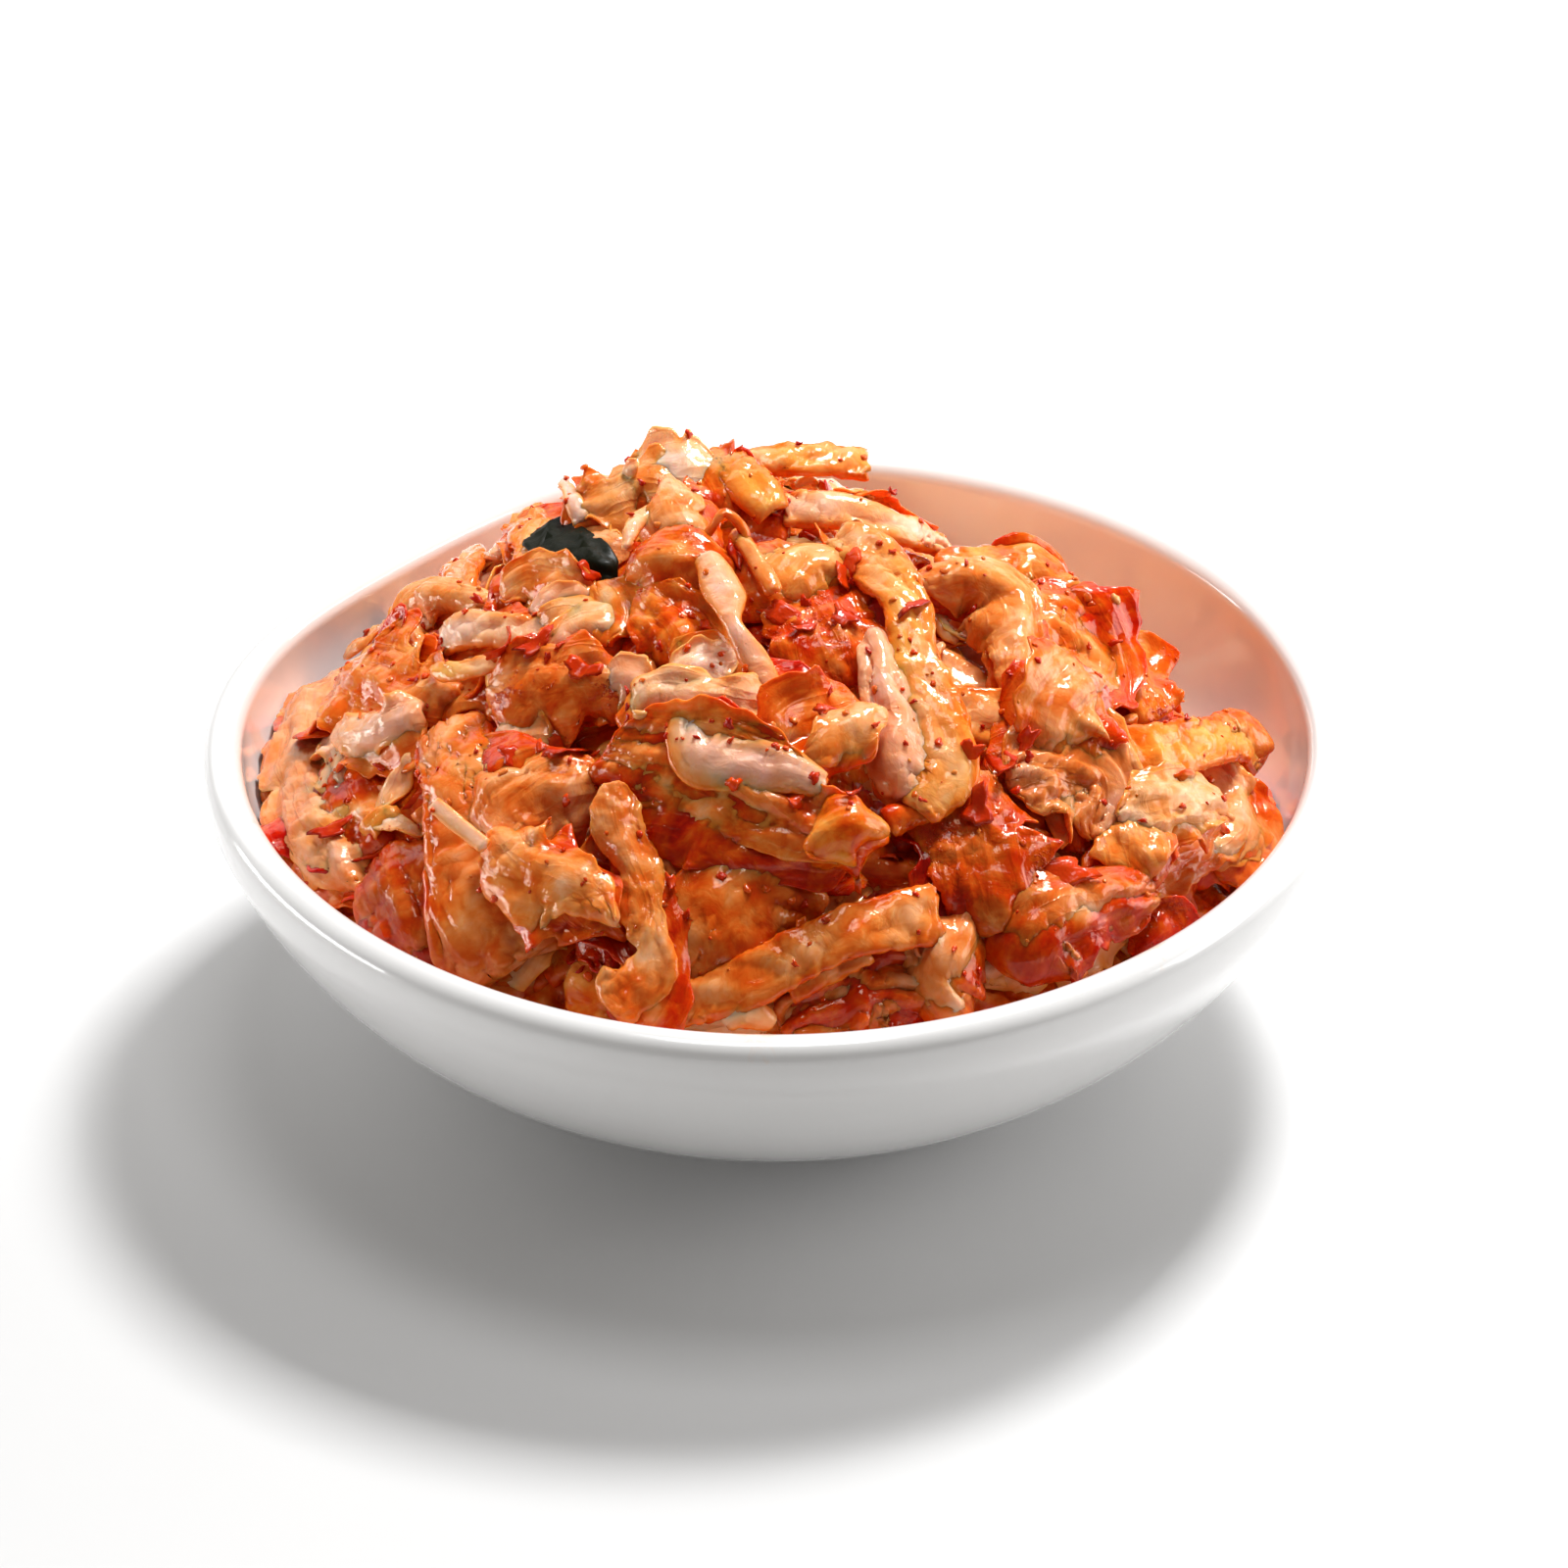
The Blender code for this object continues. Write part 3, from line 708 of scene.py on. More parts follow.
# Each leaf: kind, (x, y, z, width) at its stops, its two flesh tones, films of oil, then what
# differs from its kind. Millimetres, from the middle of the foot.
topLeaves = {
    "backLeftStem": ("strip", [(-27, 19, 49, 5), (-25, 8, 52, 5), (-24, 0, 52, 5)], "yellow white", 0.5, {}),
    "horn": ("strip", [(-22, 12, 57, 1), (-21, 8, 57, 2), (-20, 5, 56, 2)], "white pink", 0.1, dict(thick=1.0, rim=0.8)),
    "topLeftFrond": ("leaf", [(-21, 6, 56, 3), (-17, 7, 58, 5), (-14, 8, 59, 6), (-10, 7, 60, 4)], "cream white", 0.6,
                     dict(ruffle=1.2, ragged=0.5, thick=0.5)),
    "frondLobe": ("leaf", [(-21, 4, 55, 3), (-18, 2, 55, 4), (-15, 1, 56, 3)], "white pink", 0.45, dict(ruffle=1.2, ragged=0.5, thick=0.5)),
    "topCrest": ("leaf", [(-17, 11, 57, 2), (-13, 10, 59.3, 5), (-9, 9, 60.3, 5), (-5, 10, 59.5, 2)], "cream white", 0.25,
                 dict(ruffle=1.0, ragged=0.6, thick=0.5, tuck=0)),
    "topTip": ("leaf", [(-16, 10, 57.5, 3), (-15, 9, 60, 2), (-14, 9, 61, 1)], "white cream", 0.3,
               dict(thick=0.5, ragged=0.5, wide=1.2, tuck=0)),
    "topOrange": ("leaf", [(-9, 14, 59, 4), (-6, 9, 60, 5), (-4, 3, 58, 5)], "yellow cream", 0.95, {}),
    "topBlock": ("strip", [(-5, 10, 61, 4), (-2, 5, 60, 5), (0, 2, 59, 4)], "yellow cream", 0.5, dict(camber=0.7)),
    "backStrip": ("strip", [(-3, 15, 58, 3), (3, 15, 58, 4), (10, 16, 57, 4)], "yellow white", 0.45, {}),
    "orangeBody": ("leaf", [(-5, 6, 58, 5), (-2, 3, 57, 6), (1, 1, 56, 4)], "white cream", 1.4, dict(paste=0.25)),
    "shoulderStem": ("strip", [(1, 4, 58, 4), (6, 4, 58, 4), (12, 4, 56, 4), (18, 7, 52, 3)], "cream white", 0.25, {}),
    "cheekLeaf": ("leaf", [(-15, -7, 57, 4), (-12, -8, 59, 7), (-8, -9, 59, 7), (-5, -11, 57, 5)], "cream white", 1.0,
                  dict(camber=1.1)),
    "cheekRim": ("rib", [(-15, -6, 59, 1), (-14, -2, 60, 2), (-11, 2, 60, 1)], "white cream", 0.2, {}),
    "finger": ("leaf", [(-11, 4, 62, 3), (-10, -2, 61, 5), (-8, -6, 60, 4)], "pink white", 0.6, dict(camber=1.2)),
    "smallCurl": ("rib", [(-7, -5, 60, 1), (-5, -4, 62, 1), (-3, -5, 60, 1), (-4, -6, 59, 1)], "yellow cream", 0.8, {}),
    "pinkRibbon": ("rib", [(-7, -9, 60, 3), (-5, -15, 59, 4), (-4, -20, 58, 2), (-2, -23, 56, 3), (0, -26, 54, 2)], "mauve white", 0.25, {}),
    "creamRidge": ("rib", [(-4, -4, 60, 2), (-2, -8, 59, 2), (0, -13, 58, 2)], "white cream", 0.5, {}),
    "rightFace": ("leaf", [(-4, -5, 58, 5), (-1, -9, 57, 7), (2, -13, 55, 5)], "white cream", 1.2, dict(paste=0.2)),
    "membrane": ("leaf", [(1, -12, 57, 4), (4, -8, 58, 7), (7, -8, 58, 5)], "yellow cream", 0.55, dict(camber=1.0)),
    "sauceLeaf": ("leaf", [(1, -4, 57, 5), (4, -8, 56, 8), (6, -15, 55, 9), (8, -21, 52, 6)], "pink white", 1.2,
                  dict(paste=0.3)),
    "underGreen": ("leaf", [(-23, 10, 51, 5), (-18, 0, 52, 6), (-14, -5, 53, 5)], "white brown", 1.3, dict(paste=0.2)),
}

upperLeftLeaves = {
    "upLeftLobe": ("leaf", [(-38, -1, 44, 3), (-39, 6, 44, 4), (-36, 6, 47, 4), (-30, 1, 49, 3)], "cream white", 0.5,
                   dict(camber=1.3)),
    "paleStem": ("strip", [(-34, -5, 48, 4), (-31, -7, 50, 4), (-26, -9, 51, 3), (-22, -9, 52, 2)], "white cream", 0.15, {}),
    "sliver": ("strip", [(-35, -9, 47, 1), (-33, -12, 48, 2), (-29, -14, 50, 2), (-26, -13, 51, 1)], "yellow white", 0.3,
               dict(thick=0.8, rim=0.6)),
    "pinkStem": ("leaf", [(-29, -17, 49, 5), (-24, -19, 50, 7), (-19, -20, 51, 6), (-13, -21, 51, 3)], "pink white", 0.9,
                 dict(thick=1.4, paste=0.25)),
    "upLeftLeaf": ("leaf", [(-28, -2, 51, 3), (-25, -2, 53, 4), (-21, -5, 54, 4), (-18, -6, 54, 3)], "cream white", 0.7, {}),
    "mauveFold": ("leaf", [(-25, -6, 52, 2), (-21, -7, 54, 2), (-19, -7, 55, 2)], "mauve white", 0.3, {}),
    "creamFold": ("leaf", [(-24, -9, 51, 3), (-21, -10, 53, 4), (-19, -12, 53, 3)], "cream white", 0.35, {}),
    "leftOrange": ("leaf", [(-18, -6, 55, 4), (-16, -10, 54, 5), (-17, -15, 53, 4)], "yellow cream", 0.8, {}),
    "roundOrange": ("leaf", [(-14, -10, 56, 4), (-10, -15, 55, 6), (-9, -19, 53, 4)], "yellow cream", 0.9, {}),
    "paleFold": ("leaf", [(-23, -14, 51, 3), (-20, -12, 53, 4), (-16, -13, 54, 4)], "white pink", 0.4, {}),
    "petalsA": ("leaf", [(-9, -23, 53, 3), (-7, -20, 54, 5), (-4, -18, 54, 3)], "white mauve", 0.2, {}),
    "petalsB": ("leaf", [(-17, -20, 51, 3), (-15, -20, 52, 4), (-12, -22, 52, 3)], "mauve white", 0.3, {}),
    "greyLeaf": ("leaf", [(-28, -21, 46, 5), (-25, -22, 46, 6), (-22, -23, 47, 4)], "mauve pink", 0.5, {}),
    "upUnder": ("leaf", [(-38, -4, 43, 8), (-32, -8, 46, 9), (-24, -10, 49, 9), (-16, -12, 51, 8)], "white cream", 1.1,
                dict(paste=0.15)),
    "leftTopLeaf": ("leaf", [(-46, 8, 36, 4), (-43, -1, 41, 8), (-37, -9, 44, 7), (-32, -12, 46, 4)], "white cream", 0.85, {}),
    "leftDeepLeaf": ("leaf", [(-45, -3, 36, 8), (-43, -14, 36, 10), (-39, -24, 35, 8)], "white pink", 1.2, {}),
    "leftCreamFold": ("leaf", [(-46, -8, 38, 3), (-40, -13, 42, 4), (-36, -14, 45, 4)], "white pink", 0.3, {}),
    "leftWallLeaf": ("leaf", [(-48, 16, 32, 5), (-50, 8, 32.5, 7), (-50, -5, 32.5, 7), (-47, -19, 33, 6), (-42, -27, 32, 3)],
                     "white pink", 0.5, dict(ruffle=1.1)),
    "wallKnot": ("leaf", [(-47, -4, 35, 3), (-45, -9, 36, 4), (-43, -15, 36, 3)], "mauve white", 0.25, {}),
}

frontLeftLeaves = {
    "frontLeftStem": ("stem", [(-33, -17, 45, 7), (-31, -26, 43.5, 9), (-29, -32, 41, 12), (-27, -38, 38, 15), (-24, -43, 34, 17)], "cream mauve", 0.75, {}),
    "frontLeftLump": ("leaf", [(-39, -25, 35, 6), (-37, -31, 34, 8), (-34, -38, 32, 5)], "brown brown", 1.1,
                      dict(thick=2.0)),
    "secondStem": ("stem", [(-27, -18, 45, 4), (-25, -24, 43, 5), (-25, -28, 41, 4)], "mauve cream", 0.6, {}),
    "creamLeaf": ("leaf", [(-17, -30, 47, 6), (-22, -31, 46, 9), (-26, -33, 44, 8), (-27, -36, 42, 4)], "white pink", 0.7,
                  dict(camber=0.9)),
    "orangeEdge": ("leaf", [(-28, -35, 43, 4), (-25, -39, 42, 6), (-20, -42, 42, 5), (-15, -46, 40, 1)], "cream white", 0.7, dict(thick=1.5, tuck=0.4)),
    "matchstick": ("strip", [(-33.5, -33, 45.5, 1.6), (-28, -38, 43.5, 1.6)], "yellow white", 0.1,
                   dict(thick=1.1, rim=1.0, ragged=0.02, folds=0.03, crinkle=0.02, tuck=0, blunt=0.05)),
    "hangingRibbon": ("leaf", [(-16, -33, 48, 3), (-15, -37, 45, 3), (-13, -42, 42, 3), (-12, -46, 39, 3),
                               (-13, -50, 36, 4), (-16, -52, 34, 5)], "pink white", 0.7,
                      dict(wide=1.5, pleat=1.9, pleats=0.12, tuck=0.2, thick=0.5, camber=0.3, ruffle=0.4)),
    "veinLeaf": ("leaf", [(-14, -30, 46, 6), (-12, -35, 43, 9), (-10, -40, 41, 6)], "pink brown", 1.0, dict(veins=0.9)),
    "redUnder": ("leaf", [(-14, -39, 40, 6), (-12, -44, 37, 7), (-10, -48, 35, 5)], "brown cream", 1.3, dict(paste=0.25)),
    "redPatch": ("leaf", [(-18, -41, 38, 4), (-16, -44, 36, 5), (-16, -47, 34, 4)], "white cream", 1.8, dict(paste=0.5)),
    "stemFrill": ("leaf", [(-20, -45, 34, 6), (-17, -47, 33, 6), (-14, -49, 32, 3)], "yellow white", 0.8,
                  dict(ragged=0.4)),
}

centreLeaves = {
    "kidneyLeaf": ("leaf", [(-17, -30, 49, 3), (-11, -32, 50, 11), (-4, -35, 50, 13), (3, -39, 47, 8), (10, -39, 46, 5)], "white pink", 0.9, dict(camber=(0.4, -0.45), wide=1.05, ruffle=0.5, ragged=0.12, waves=2.6)),
    "kidneyTop": ("leaf", [(-14, -28, 53, 3), (-11, -26, 54, 4), (-6, -27, 54, 3), (0, -27, 53, 3)], "cream white", 0.3,
                  dict(thick=1.1)),
    "ribLoop": ("rib", [(-6, -30, 53.6, 4), (-8, -31, 52.8, 5), (-7, -34, 51.5, 6), (-3, -35, 51.4, 6),
                        (1, -36, 51.2, 5), (5, -37, 50, 3)], "mauve white", 0.18, dict(thick=1.2, camber=0.45)),
    "petal": ("leaf", [(0, -33, 51, 4), (2, -30, 53, 7), (6, -28, 53, 6), (9, -27, 53, 3)], "pink white", 1.0, {}),
    "orangeTip": ("leaf", [(3, -35, 52, 3), (7, -32, 53, 4), (11, -29, 54, 2)], "cream white", 0.6, {}),
    "orangeFlap": ("leaf", [(11, -40, 47, 3), (7, -41, 48, 6), (3, -42, 46, 4)], "yellow yellow", 0.9, dict(camber=1.1)),
    "mauveStem": ("leaf", [(10, -17, 56, 3), (11, -24, 53, 5), (12, -30, 50, 6), (13, -34, 47, 6)], "mauve pink", 0.3,
                  dict(thick=1.5, rim=0.8, camber=0.9, pleat=2.4, pleats=0.3, ruffle=0.3, ragged=0.1, wide=1.2)),
    "archStrip": ("strip", [(6, -4, 59, 5), (10, -7, 58, 6), (13, -13, 57, 5), (14, -20, 54, 5), (16, -26, 51, 6),
                            (17, -31, 48, 6), (14, -35, 46, 4)], "yellow cream", 0.42, {}),
    "flatYellow": ("strip", [(17, -20, 48, 5), (22, -20, 47, 6), (26, -19, 45, 4)], "yellow white", 0.4, {}),
    "lowerStrip": ("strip", [(20, -28, 46, 3), (16, -32, 45, 3), (11, -36, 45, 3)], "cream white", 0.9, {}),
    "brownFolds": ("leaf", [(5, -37, 41, 4), (10, -37, 40, 6), (16, -37, 39, 5)], "brown pink", 1.1, {}),
    "triangleStem": ("stem", [(-10, -47, 35, 4), (-6, -44, 39, 11), (-1, -41, 41, 10), (5, -40, 40, 4)], "cream brown", 0.85, dict(thick=2.6)),
    "frontStrip": ("strip", [(16, -43, 39, 6), (9, -45, 39, 5), (4, -47, 38, 5), (-3, -49, 35, 5), (-10, -50, 33, 4)], "cream white", 0.7, {}),
    "lowStrip": ("strip", [(9, -46, 37, 3), (5, -47, 36, 4), (1, -49, 35, 4)], "cream brown", 0.5, {}),
    "bottomFolds": ("leaf", [(0, -50, 32, 5), (6, -48, 33, 8), (10, -46, 34, 8), (15, -46, 33, 5)], "mauve brown", 0.9,
                    dict(folds=0.8)),
    "paleCurl": ("rib", [(-5, -51, 32, 2), (-3, -51, 33, 3), (0, -51, 32, 2)], "white cream", 0.3, {}),
    "curledTip": ("leaf", [(19, -41, 38, 5), (17, -45, 36, 6), (16, -47, 34, 6), (18, -49, 32, 4)], "white pink", 0.6,
                  dict(camber=1.2)),
}

rightLeaves = {
    "rightLobe": ("leaf", [(15, -6, 55, 4), (20, -4, 55, 5), (24, -5, 53, 6), (25, -12, 51, 5), (25, -18, 48, 3)], "white cream", 0.6, dict(camber=1.2)),
    "redRuffle": ("leaf", [(17, 2, 53, 3), (23, 5, 51, 4), (27, 7, 50, 4), (31, 4, 48, 4)], "cream yellow", 0.8,
                  dict(ruffle=1.0, ragged=0.2)),
    "rightLeaf": ("leaf", [(26, 2, 50, 5), (30, -1, 48, 8), (32, -4, 45, 7), (31, -11, 45, 4)], "cream white", 0.9, {}),
    "rightRed": ("leaf", [(34, 6, 43, 4), (37, 2, 41, 6), (39, -7, 39, 4)], "cream yellow", 0.9, dict(paste=0.25)),
    "barStem": ("strip", [(34, -19, 43, 5), (40, -16, 41, 6), (47, -7, 37, 5), (50, -3, 33, 5)], "yellow yellow", 0.5, {}),
    "barTip": ("leaf", [(46, -7, 38, 2), (49, -2, 36, 3), (50, -5, 33, 3)], "cream pink", 0.8, dict(ruffle=1.3)),
    "crestLeaf": ("leaf", [(27, -25, 46, 6), (28, -22, 49, 7), (30, -19, 50, 7), (33, -14, 49, 4)], "white pink", 0.7,
                  dict(ruffle=1.3)),
    "brownLeaf": ("leaf", [(23, -29, 46, 6), (28, -26, 45, 9), (32, -26, 43, 9), (32, -31, 40, 6)], "mauve brown", 0.6,
                  dict(crinkle=0.14, folds=0.35, foldSize=3.0)),
    "redLeaf": ("leaf", [(21, -28, 46, 5), (20, -34, 44, 8), (21, -40, 40, 8), (22, -43, 37, 5)], "brown brown", 1.1,
                dict(paste=0.25)),
    "pointedRibbon": ("leaf", [(34, -29, 41, 4), (39, -26, 41, 5), (43, -23, 39, 4), (46, -21, 36, 1)], "white cream",
                      0.45, dict(blunt=2.0, tuck=0.3)),
    "rightEnd": ("leaf", [(46, -8, 35, 4), (47, -12, 33, 5), (47, -17, 32, 5), (44, -22, 32, 4)], "pink white", 0.5, {}),
    "peachLeaf": ("leaf", [(35, -28, 41, 5), (36, -31, 39, 6), (37, -34, 37, 3)], "white cream", 0.8, {}),
    "lowRightLeaf": ("leaf", [(38, -33, 37, 3), (31, -38, 38, 6), (26, -42, 38, 9), (24, -45, 35, 5)], "mauve brown", 0.9,
                     dict(camber=1.0)),
    "lowRightRed": ("leaf", [(37, -32, 32, 4), (38, -34, 31, 5), (36, -37, 30, 4)], "white cream", 1.6, dict(paste=0.35)),
    "wallPink": ("leaf", [(38, -28, 33, 5), (43, -21, 33, 5), (48, -12, 32, 4)], "pink mauve", 0.7, {}),
}

backLeaves = {
    "backFan": ("leaf", [(-12, 23, 52, 8), (-14, 32, 45, 10), (-12, 41, 37, 9), (-9, 48, 32, 6)], "white pink", 0.38, {}),
    "backFold": ("leaf", [(2, 23, 52, 6), (8, 30, 45, 9), (6, 40, 38, 6)], "cream white", 0.32, {}),
    "backRidge": ("stem", [(-30, 12, 48, 5), (-24, 24, 46, 6), (-22, 36, 38, 6)], "cream mauve", 0.22, {}),
    "backLeftLeaf": ("leaf", [(-43, 14, 37, 7), (-38, 24, 36, 9), (-33, 35, 31, 8)], "pink white", 0.43, {}),
    "backLowLeft": ("leaf", [(-26, 39, 32, 6), (-16, 46, 31, 7), (-4, 48, 30, 6)], "cream white", 0.49, {}),
    "backRightLeaf": ("leaf", [(14, 23, 46, 6), (20, 31, 37, 8), (18, 41, 32, 7)], "pink white", 0.43, {}),
    "backRightStrip": ("strip", [(6, 44, 35, 5), (15, 45, 31, 5), (24, 40, 28, 4)], "yellow white", 0.22, {}),
    "backRightFold": ("leaf", [(26, 21, 39, 5), (29, 29, 32, 6), (26, 36, 29, 5)], "white cream", 0.65, {}),
    "backStem": ("strip", [(-6, 20, 55, 5), (0, 27, 50, 6), (-2, 38, 41, 5), (1, 47, 33, 4)], "yellow cream", 0.22, {}),
    "rightBackLeaf": ("leaf", [(37, 4, 39, 5), (41, 11, 32, 5), (40, 17, 30, 4)], "white pink", 0.49, {}),
    "leftBackStrip": ("strip", [(-34, 4, 47, 5), (-33, 16, 45, 5), (-35, 27, 38, 4)], "cream pink", 0.28, {}),
}

leafGroups = dict(
    leavesTop=(topLeaves, 0.5), leavesUpperLeft=(upperLeftLeaves, 0.5), leavesFrontLeft=(frontLeftLeaves, 0.5),
    leavesCentre=(centreLeaves, 0.5), leavesRight=(rightLeaves, 0.5), leavesBack=(backLeaves, 0.0),
)


def dress(piece):
    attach(piece, "root")


linings = dict(sink=1.5, wide=1.2, oil=0.5, shift=1.5)  # a second leaf below each thin one


def makeLeaves():
    seed = 100
    rng = np.random.default_rng(3)
    for group, (leaves, lean) in leafGroups.items():
        pile = Pile()
        for kind, stops, tones, film, extra in leaves.values():
            seed += 50
            shape = {"lean": lean, **leafKinds[kind], **extra}
            if "camber" in extra:
                shape["curl"] = 0
            points, faces, paint = leafSheet(stops, seed, tones.split(), film, **shape)
            pile.add(points, faces, **paint)
            if kind == "leaf":
                below = np.array(stops, float)
                below[:, :2] += rng.uniform(-linings["shift"], linings["shift"], 2)
                below[:, 2] -= linings["sink"]
                below[:, 3] *= linings["wide"]
                shape.update(step=0.5, tuck=1.5)
                points, faces, paint = leafSheet(below, seed + 25, tones.split(), film + linings["oil"], **shape)
                pile.add(points, faces, **paint)
        dress(pile.piece(group, looks["cabbage"]))


makeLeaves()


def makeGreen():
    # the dark spring onion leaf near the top
    shape = dict(leafKinds["leaf"], ruffle=0.3, folds=0.3, crinkle=0.1, veins=0, pleats=0, ragged=0.08, lean=0.5)
    stops = [(-25, 9, 53, 4), (-22, 3, 54.5, 4), (-19, -2, 55, 4), (-17, -5, 54.5, 3)]
    points, faces, _ = leafSheet(stops, 7, ("brown", "brown"), 0, **shape)
    pile = Pile()
    pile.add(points, faces)
    return pile.piece("onionGreen", looks["green"])


dress(makeGreen())


filler = dict(number=260, length=(10, 22), width=(5, 11), sink=(-3.4, -0.8), reach=48.0, seed=5)


def makeFillers():
    # Crumpled leaves strewn over the whole bulk, between and below the placed ones.
    rng = np.random.default_rng(filler["seed"])
    tones = ("white cream", "white pink", "cream white", "pink brown", "white mauve", "yellow cream")
    piles = [Pile() for _ in range(3)]
    for k in range(filler["number"]):
        far, way = np.sqrt(rng.uniform(0, 1)) * filler["reach"], rng.uniform(0, 2 * np.pi)
        heading, turn = rng.uniform(0, 2 * np.pi), rng.normal(0, 0.5)
        length, width = rng.uniform(*filler["length"]), rng.uniform(*filler["width"])
        kind = "leaf" if rng.uniform() < 0.8 else "strip"
        sink, film, roll = rng.uniform(*filler["sink"]), rng.uniform(0.3, 1.6), rng.normal(0, 16, 2)
        film *= 0.7 if far * np.sin(way) > 14 else 1.0
        pair = tones[rng.integers(len(tones))].split()
        part = np.linspace(-0.5, 0.5, 4)
        x = far * np.cos(way) + length * part * np.cos(heading + turn * part)
        y = far * np.sin(way) + length * part * np.sin(heading + turn * part)
        out = np.maximum(np.hypot(x, y) / filler["reach"], 1)
        x, y = x / out, y / out
        widths = width * np.array((0.7, 1, 1, 0.7)) * (1 if kind == "leaf" else 0.5)
        stops = np.stack((x, y, bulkHeight(x, y) + sink, widths), -1)
        shape = dict(leafKinds[kind], step=0.6)
        points, faces, paint = leafSheet(
            stops, 9000 + 60 * k, pair, film, paste=0.05 + 0.1 * film, lean=0.0, roll=tuple(roll), **shape)
        piles[k % 3].add(points, faces, **paint)
    for k, pile in enumerate(piles):
        dress(pile.piece(f"leavesBetween{k + 1}", looks["cabbage"]))


makeFillers()


shreds = dict(number=150, length=(3.0, 8.0), width=(1.6, 4.0), reach=47.0, seed=9)


def makeShreds():
    # Small torn pieces lying over the leaves, each a short leaf that bends at will.
    rng = np.random.default_rng(shreds["seed"])
    tones = ("white cream", "yellow cream", "pink white", "mauve white", "cream yellow")
    pile = Pile()
    for k in range(shreds["number"]):
        far, way = np.sqrt(rng.uniform(0, 1)) * shreds["reach"], rng.uniform(0, 2 * np.pi)
        heading, turn = rng.uniform(0, 2 * np.pi), rng.normal(0, 0.9)
        length, width = rng.uniform(*shreds["length"]), rng.uniform(*shreds["width"])
        part = np.linspace(-0.5, 0.5, 4)
        x = far * np.cos(way) + length * part * np.cos(heading + turn * part)
        y = far * np.sin(way) + length * part * np.sin(heading + turn * part)
        high = rng.uniform(-0.4, 1.1) + rng.normal(0, 0.25, 4)
        stops = np.stack((x, y, bulkHeight(x, y) + high, width * np.array((0.6, 1, 0.9, 0.5))), -1)
        shape = dict(leafKinds["leaf"], step=0.34, wide=1.0, thick=0.5, tuck=0.6, ruffle=0.6, ragged=0.45, rib=0)
        points, faces, paint = leafSheet(
            stops, 40000 + 60 * k, tones[rng.integers(len(tones))].split(), rng.uniform(0.1, 1.0),
            paste=rng.uniform(0, 0.25), lean=0.0, roll=tuple(rng.normal(0, 20, 2)), **shape)
        pile.add(points, faces, **paint)
    dress(pile.piece("leafShreds", looks["cabbage"]))


makeShreds()


def heapSurface():
    # One search tree over the leaves made so far, to lay small things on.
    corners, faces, count = [], [], 0
    for piece in bpy.context.scene.objects:
        if piece.type == "MESH" and piece.name.startswith(("leaves", "cabbage")):
            mesh = piece.data
            points = np.empty(len(mesh.vertices) * 3)
            mesh.vertices.foreach_get("co", points)
            corners.append(points.reshape(-1, 3) / mm)
            faces.extend([[k + count for k in face.vertices] for face in mesh.polygons])
            count += len(mesh.vertices)
    return BVHTree.FromPolygons(np.concatenate(corners).tolist(), faces)


def settle(tree, target, direction):
    # Where a ray through the target against this direction first meets the heap: place and normal.
    direction = Vector(direction).normalized()
    hit, normal, _, _ = tree.ray_cast(Vector(target) + 60 * direction, -direction)
    return (np.array(hit), np.array(normal)) if hit else (None, None)


def plate(size, thick, bendUp, seed, grid=5):
    # A torn flake: a square grid drawn in to an uneven round outline, bent up along one way, with
    # both faces meeting at the rim.
    rng = np.random.default_rng(seed)
    t = np.linspace(-1, 1, grid)
    a, b = np.meshgrid(t, t, indexing="ij")
    angle = np.arctan2(b, a)
    reach = np.maximum(np.abs(a), np.abs(b))
    outline = 1 + 0.22 * np.cos(3 * angle + rng.uniform(0, 6)) + 0.18 * np.cos(5 * angle + rng.uniform(0, 6))
    x = reach * np.cos(angle) * outline * size / 2 * rng.uniform(0.9, 1.5)
    y = reach * np.sin(angle) * outline * size / 2 * rng.uniform(0.55, 0.9)
    z = bendUp * x ** 2 / size + 0.10 * size * ripples(x, y, size, seed)
    half = thick / 2 * np.sqrt(np.maximum(1 - reach ** 4, 0))
    top = np.arange(grid * grid).reshape(grid, grid)
    under = top.copy()
    under[1:-1, 1:-1] = grid * grid + np.arange((grid - 2) ** 2).reshape(grid - 2, grid - 2)
    faces = np.concatenate((gridFaces(top), gridFaces(under)[:, ::-1]))
    upper = np.stack((x, y, z + half), -1).reshape(-1, 3)
    lower = np.stack((x, y, z - half), -1)[1:-1, 1:-1].reshape(-1, 3)
    return np.concatenate((upper, lower)), faces


def standOn(points, place, normal, spin, raised):
    # Turn points so that their z runs along the normal and spin them about it.
    normal = unit(np.asarray(normal, float))
    side = unit(np.cross(normal, (0.3, 0.9, 0.1)))
    other = np.cross(normal, side)
    first = side * math.cos(spin) + other * math.sin(spin)
    second = np.cross(normal, first)
    return place + normal * raised + points @ np.stack((first, second, normal))


chilli = dict(number=150, small=(0.6, 1.7), thick=0.3, seed=21)

bigFlakes = (  # larger flakes that lie in sight: x, y, z, size
    (-46, 10, 35, 2.6), (-26, -22, 44, 2.8), (-19, -1, 53, 2.8), (0, 6, 56, 2.2), (8, -1, 54, 3.4), (7, -4, 54, 3.4),
    (14, -5, 51, 2.8), (1, -10, 53, 3.4), (3, -11, 52, 3.0), (7, -9, 52, 3.0), (-4, -2, 55, 2.4), (23, -23, 43, 3.2),
    (19, -23, 45, 3.6), (20, -29, 42, 4.6), (25, -19, 44, 2.4), (28, -33, 37, 4.6), (-21, -23, 45, 4.2),
    (-19, -14, 49, 3.0), (-27, -8, 48, 4.6), (-24, -9, 49, 3.6), (-45, -20, 34, 2.8), (-4, -29, 45, 1.6),
    (-10, -39, 40, 1.6), (11, -36, 41, 2.0),
)


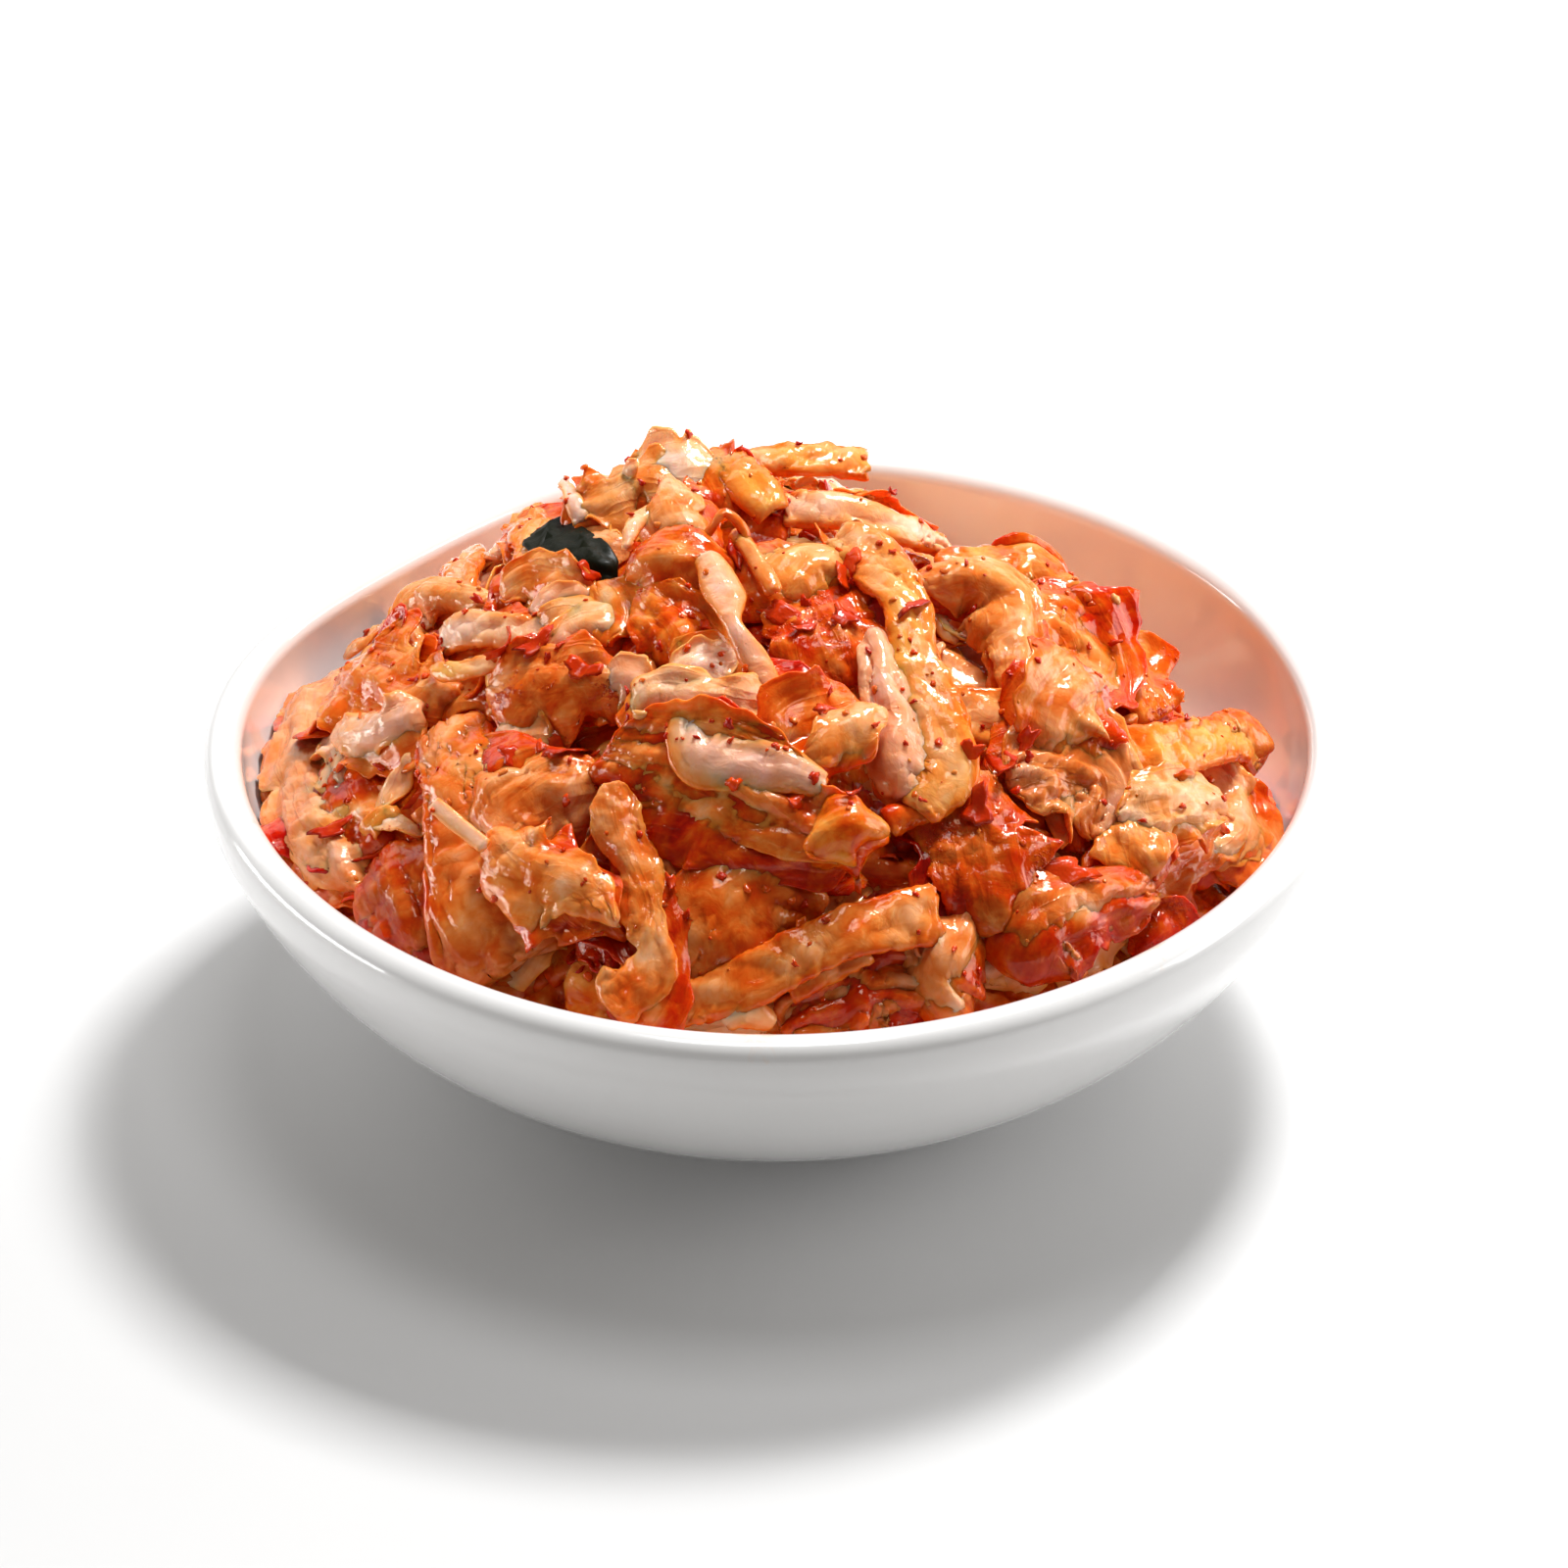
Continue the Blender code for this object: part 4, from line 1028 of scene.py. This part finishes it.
def makeFlakes(tree):
    # Named large flakes seen from the front, then small ones dropped from all sides.
    rng = np.random.default_rng(chilli["seed"])
    spots = [(np.array(flake[:3], float), towardsFront, flake[3]) for flake in bigFlakes]
    for _ in range(chilli["number"]):
        far, way = np.sqrt(rng.uniform(0, 1)) * 50, rng.uniform(0, 2 * np.pi)
        x, y = far * np.cos(way), far * np.sin(way)
        direction = (rng.normal(0, 0.4), rng.normal(-0.25, 0.5), 1.0)
        size = chilli["small"][0] + (chilli["small"][1] - chilli["small"][0]) * rng.uniform() ** 2
        spots.append((np.array((x, y, float(bulkHeight(np.array(x), np.array(y))))), direction, size))
    pile = Pile()
    for k, (target, direction, size) in enumerate(spots):
        place, normal = settle(tree, target, direction)
        shade, spin, tilt = rng.uniform(0, 1), rng.uniform(0, 6.28), rng.normal(0, 0.25, 3)
        if place is None:
            continue
        points, faces = plate(size, chilli["thick"], rng.uniform(-0.5, 0.9), 400 + k, 7 if size > 2.1 else 5)
        points = standOn(points, place, normal + tilt, spin, 0.12 + 0.04 * size)
        pile.add(points, faces, shade=np.full(len(points), shade))
    dress(pile.piece("chilliFlakes", looks["flake"]))


def lump(size, long, seed):
    # A closed bead: rings of a ball stretched along x, its radius uneven; poles are single points.
    rings, steps = 5, 8
    tall = np.linspace(0, np.pi, rings + 2)[1:-1][:, None]
    turn = np.linspace(0, 2 * np.pi, steps, endpoint=False)
    x, y, z = np.cos(tall) + 0 * turn, np.sin(tall) * np.cos(turn), np.sin(tall) * np.sin(turn)
    swellOut = 1 + 0.25 * ripples(3 * x + z, 3 * y - z, 4, seed, 4)
    body = np.stack((x * long, y, z), -1) * swellOut[..., None] * size / 2
    points = np.concatenate((body.reshape(-1, 3), [(long * size / 2, 0, 0), (-long * size / 2, 0, 0)]))
    index = np.arange(rings * steps).reshape(rings, steps)
    index = np.column_stack((index, index[:, 0]))
    quads = gridFaces(index)
    first, last = rings * steps, rings * steps + 1
    faces = np.concatenate((
        quads[:, [0, 1, 2]], quads[:, [0, 2, 3]],
        np.column_stack((np.full(steps, first), index[0][:-1], index[0][1:])),
        np.column_stack((np.full(steps, last), index[-1][1:], index[-1][:-1])),
    ))
    return points, faces


pulp = dict(number=420, size=(0.3, 0.9), seed=31)
seeds = dict(number=8, size=0.95, seed=34)


def makeBits(tree, name, look, number, sizes, long, seed, painted):
    rng = np.random.default_rng(seed)
    pile = Pile()
    for k in range(number):
        far, way = np.sqrt(rng.uniform(0, 1)) * 50, rng.uniform(0, 2 * np.pi)
        x, y = far * np.cos(way), far * np.sin(way)
        direction = (rng.normal(0, 0.4), rng.normal(-0.25, 0.5), 1.0)
        place, normal = settle(tree, (x, y, float(bulkHeight(np.array(x), np.array(y)))), direction)
        size, spin = sizes[0] + (sizes[1] - sizes[0]) * rng.uniform() ** 2, rng.uniform(0, 6.28)
        if place is None:
            continue
        points, faces = lump(size, long, seed * 1000 + k)
        points[:, 2] *= 0.6
        points = standOn(points, place, normal, spin, 0.1 * size)
        film = rng.uniform(0.8, 2.2)
        many = len(points)
        paint = dict(flesh=np.tile(flesh["white"], (many, 1)), film=np.full(many, film), paste=np.full(many, 0.3),
                     flow=points, crease=np.zeros(many))
        pile.add(points, faces, **(paint if painted else {}))
    dress(pile.piece(name, looks[look]))


def makeToppings():
    tree = heapSurface()
    makeFlakes(tree)
    makeBits(tree, "chilliPulp", "cabbage", pulp["number"], pulp["size"], 1.2, pulp["seed"], True)
    makeBits(tree, "chilliSeeds", "seed", seeds["number"], (seeds["size"], seeds["size"] * 1.2), 1.35, seeds["seed"], False)


makeToppings()
print("toppings laid")


def makeFloor():
    bpy.ops.mesh.primitive_plane_add(size=4.0, location=(0, 0, 0))
    floor = bpy.context.object
    floor.name = "floor"
    floor.data.materials.append(looks["floor"])


studio = dict(  # world strength; then each light: place and size in metres, watts
    world=0.10, worldColour=(1.0, 0.90, 0.80),
    backPanel=((0.0, 0.90, 0.60), (2.20, 0.60), 4.6),
    topKey=((0.20, 0.32, 0.66), (0.16, 0.16), 6.6),
    topPanel=((0.0, 0.02, 0.80), (0.25, 0.25), 1.5),
    leftPanel=((-0.75, 0.05, 0.10), (0.60, 0.16), 2.8),
    rightPanel=((0.70, 0.10, 0.26), (0.60, 0.36), 3.2),
)


def addLight(name, place, size, power):
    lamp = bpy.data.lights.new(name, "AREA")
    lamp.shape = "RECTANGLE"
    lamp.size, lamp.size_y = size
    lamp.energy = power
    holder = bpy.data.objects.new(name, lamp)
    holder.location = place
    holder.rotation_euler = (Vector((0, 0, 0.04)) - Vector(place)).to_track_quat("-Z", "Y").to_euler()
    bpy.context.scene.collection.objects.link(holder)


def makeStudio():
    world = bpy.data.worlds.new("studio")
    world.use_nodes = True
    world.node_tree.nodes["Background"].inputs[0].default_value = (*studio["worldColour"], 1)
    world.node_tree.nodes["Background"].inputs[1].default_value = studio["world"]
    bpy.context.scene.world = world
    for name in ("backPanel", "topKey", "topPanel", "leftPanel", "rightPanel"):
        addLight(name, *studio[name])
    bpy.context.scene.view_settings.view_transform = "Standard"


view = dict(elevation=32.73, distance=0.5, height=0.02, lens=107.5, aim=(0.0010, 0.0032, 0.0250))


def makeCamera():
    lens = bpy.data.cameras.new("camera")
    lens.sensor_width = 36
    lens.lens = view["lens"]
    camera = bpy.data.objects.new("camera", lens)
    elevation = math.radians(view["elevation"])
    camera.location = (
        0, -view["distance"] * math.cos(elevation), view["height"] + view["distance"] * math.sin(elevation))
    camera.rotation_euler = (Vector(view["aim"]) - camera.location).to_track_quat("-Z", "Y").to_euler()
    bpy.context.scene.collection.objects.link(camera)
    bpy.context.scene.camera = camera


makeFloor()
makeStudio()
makeCamera()
print("studio set")
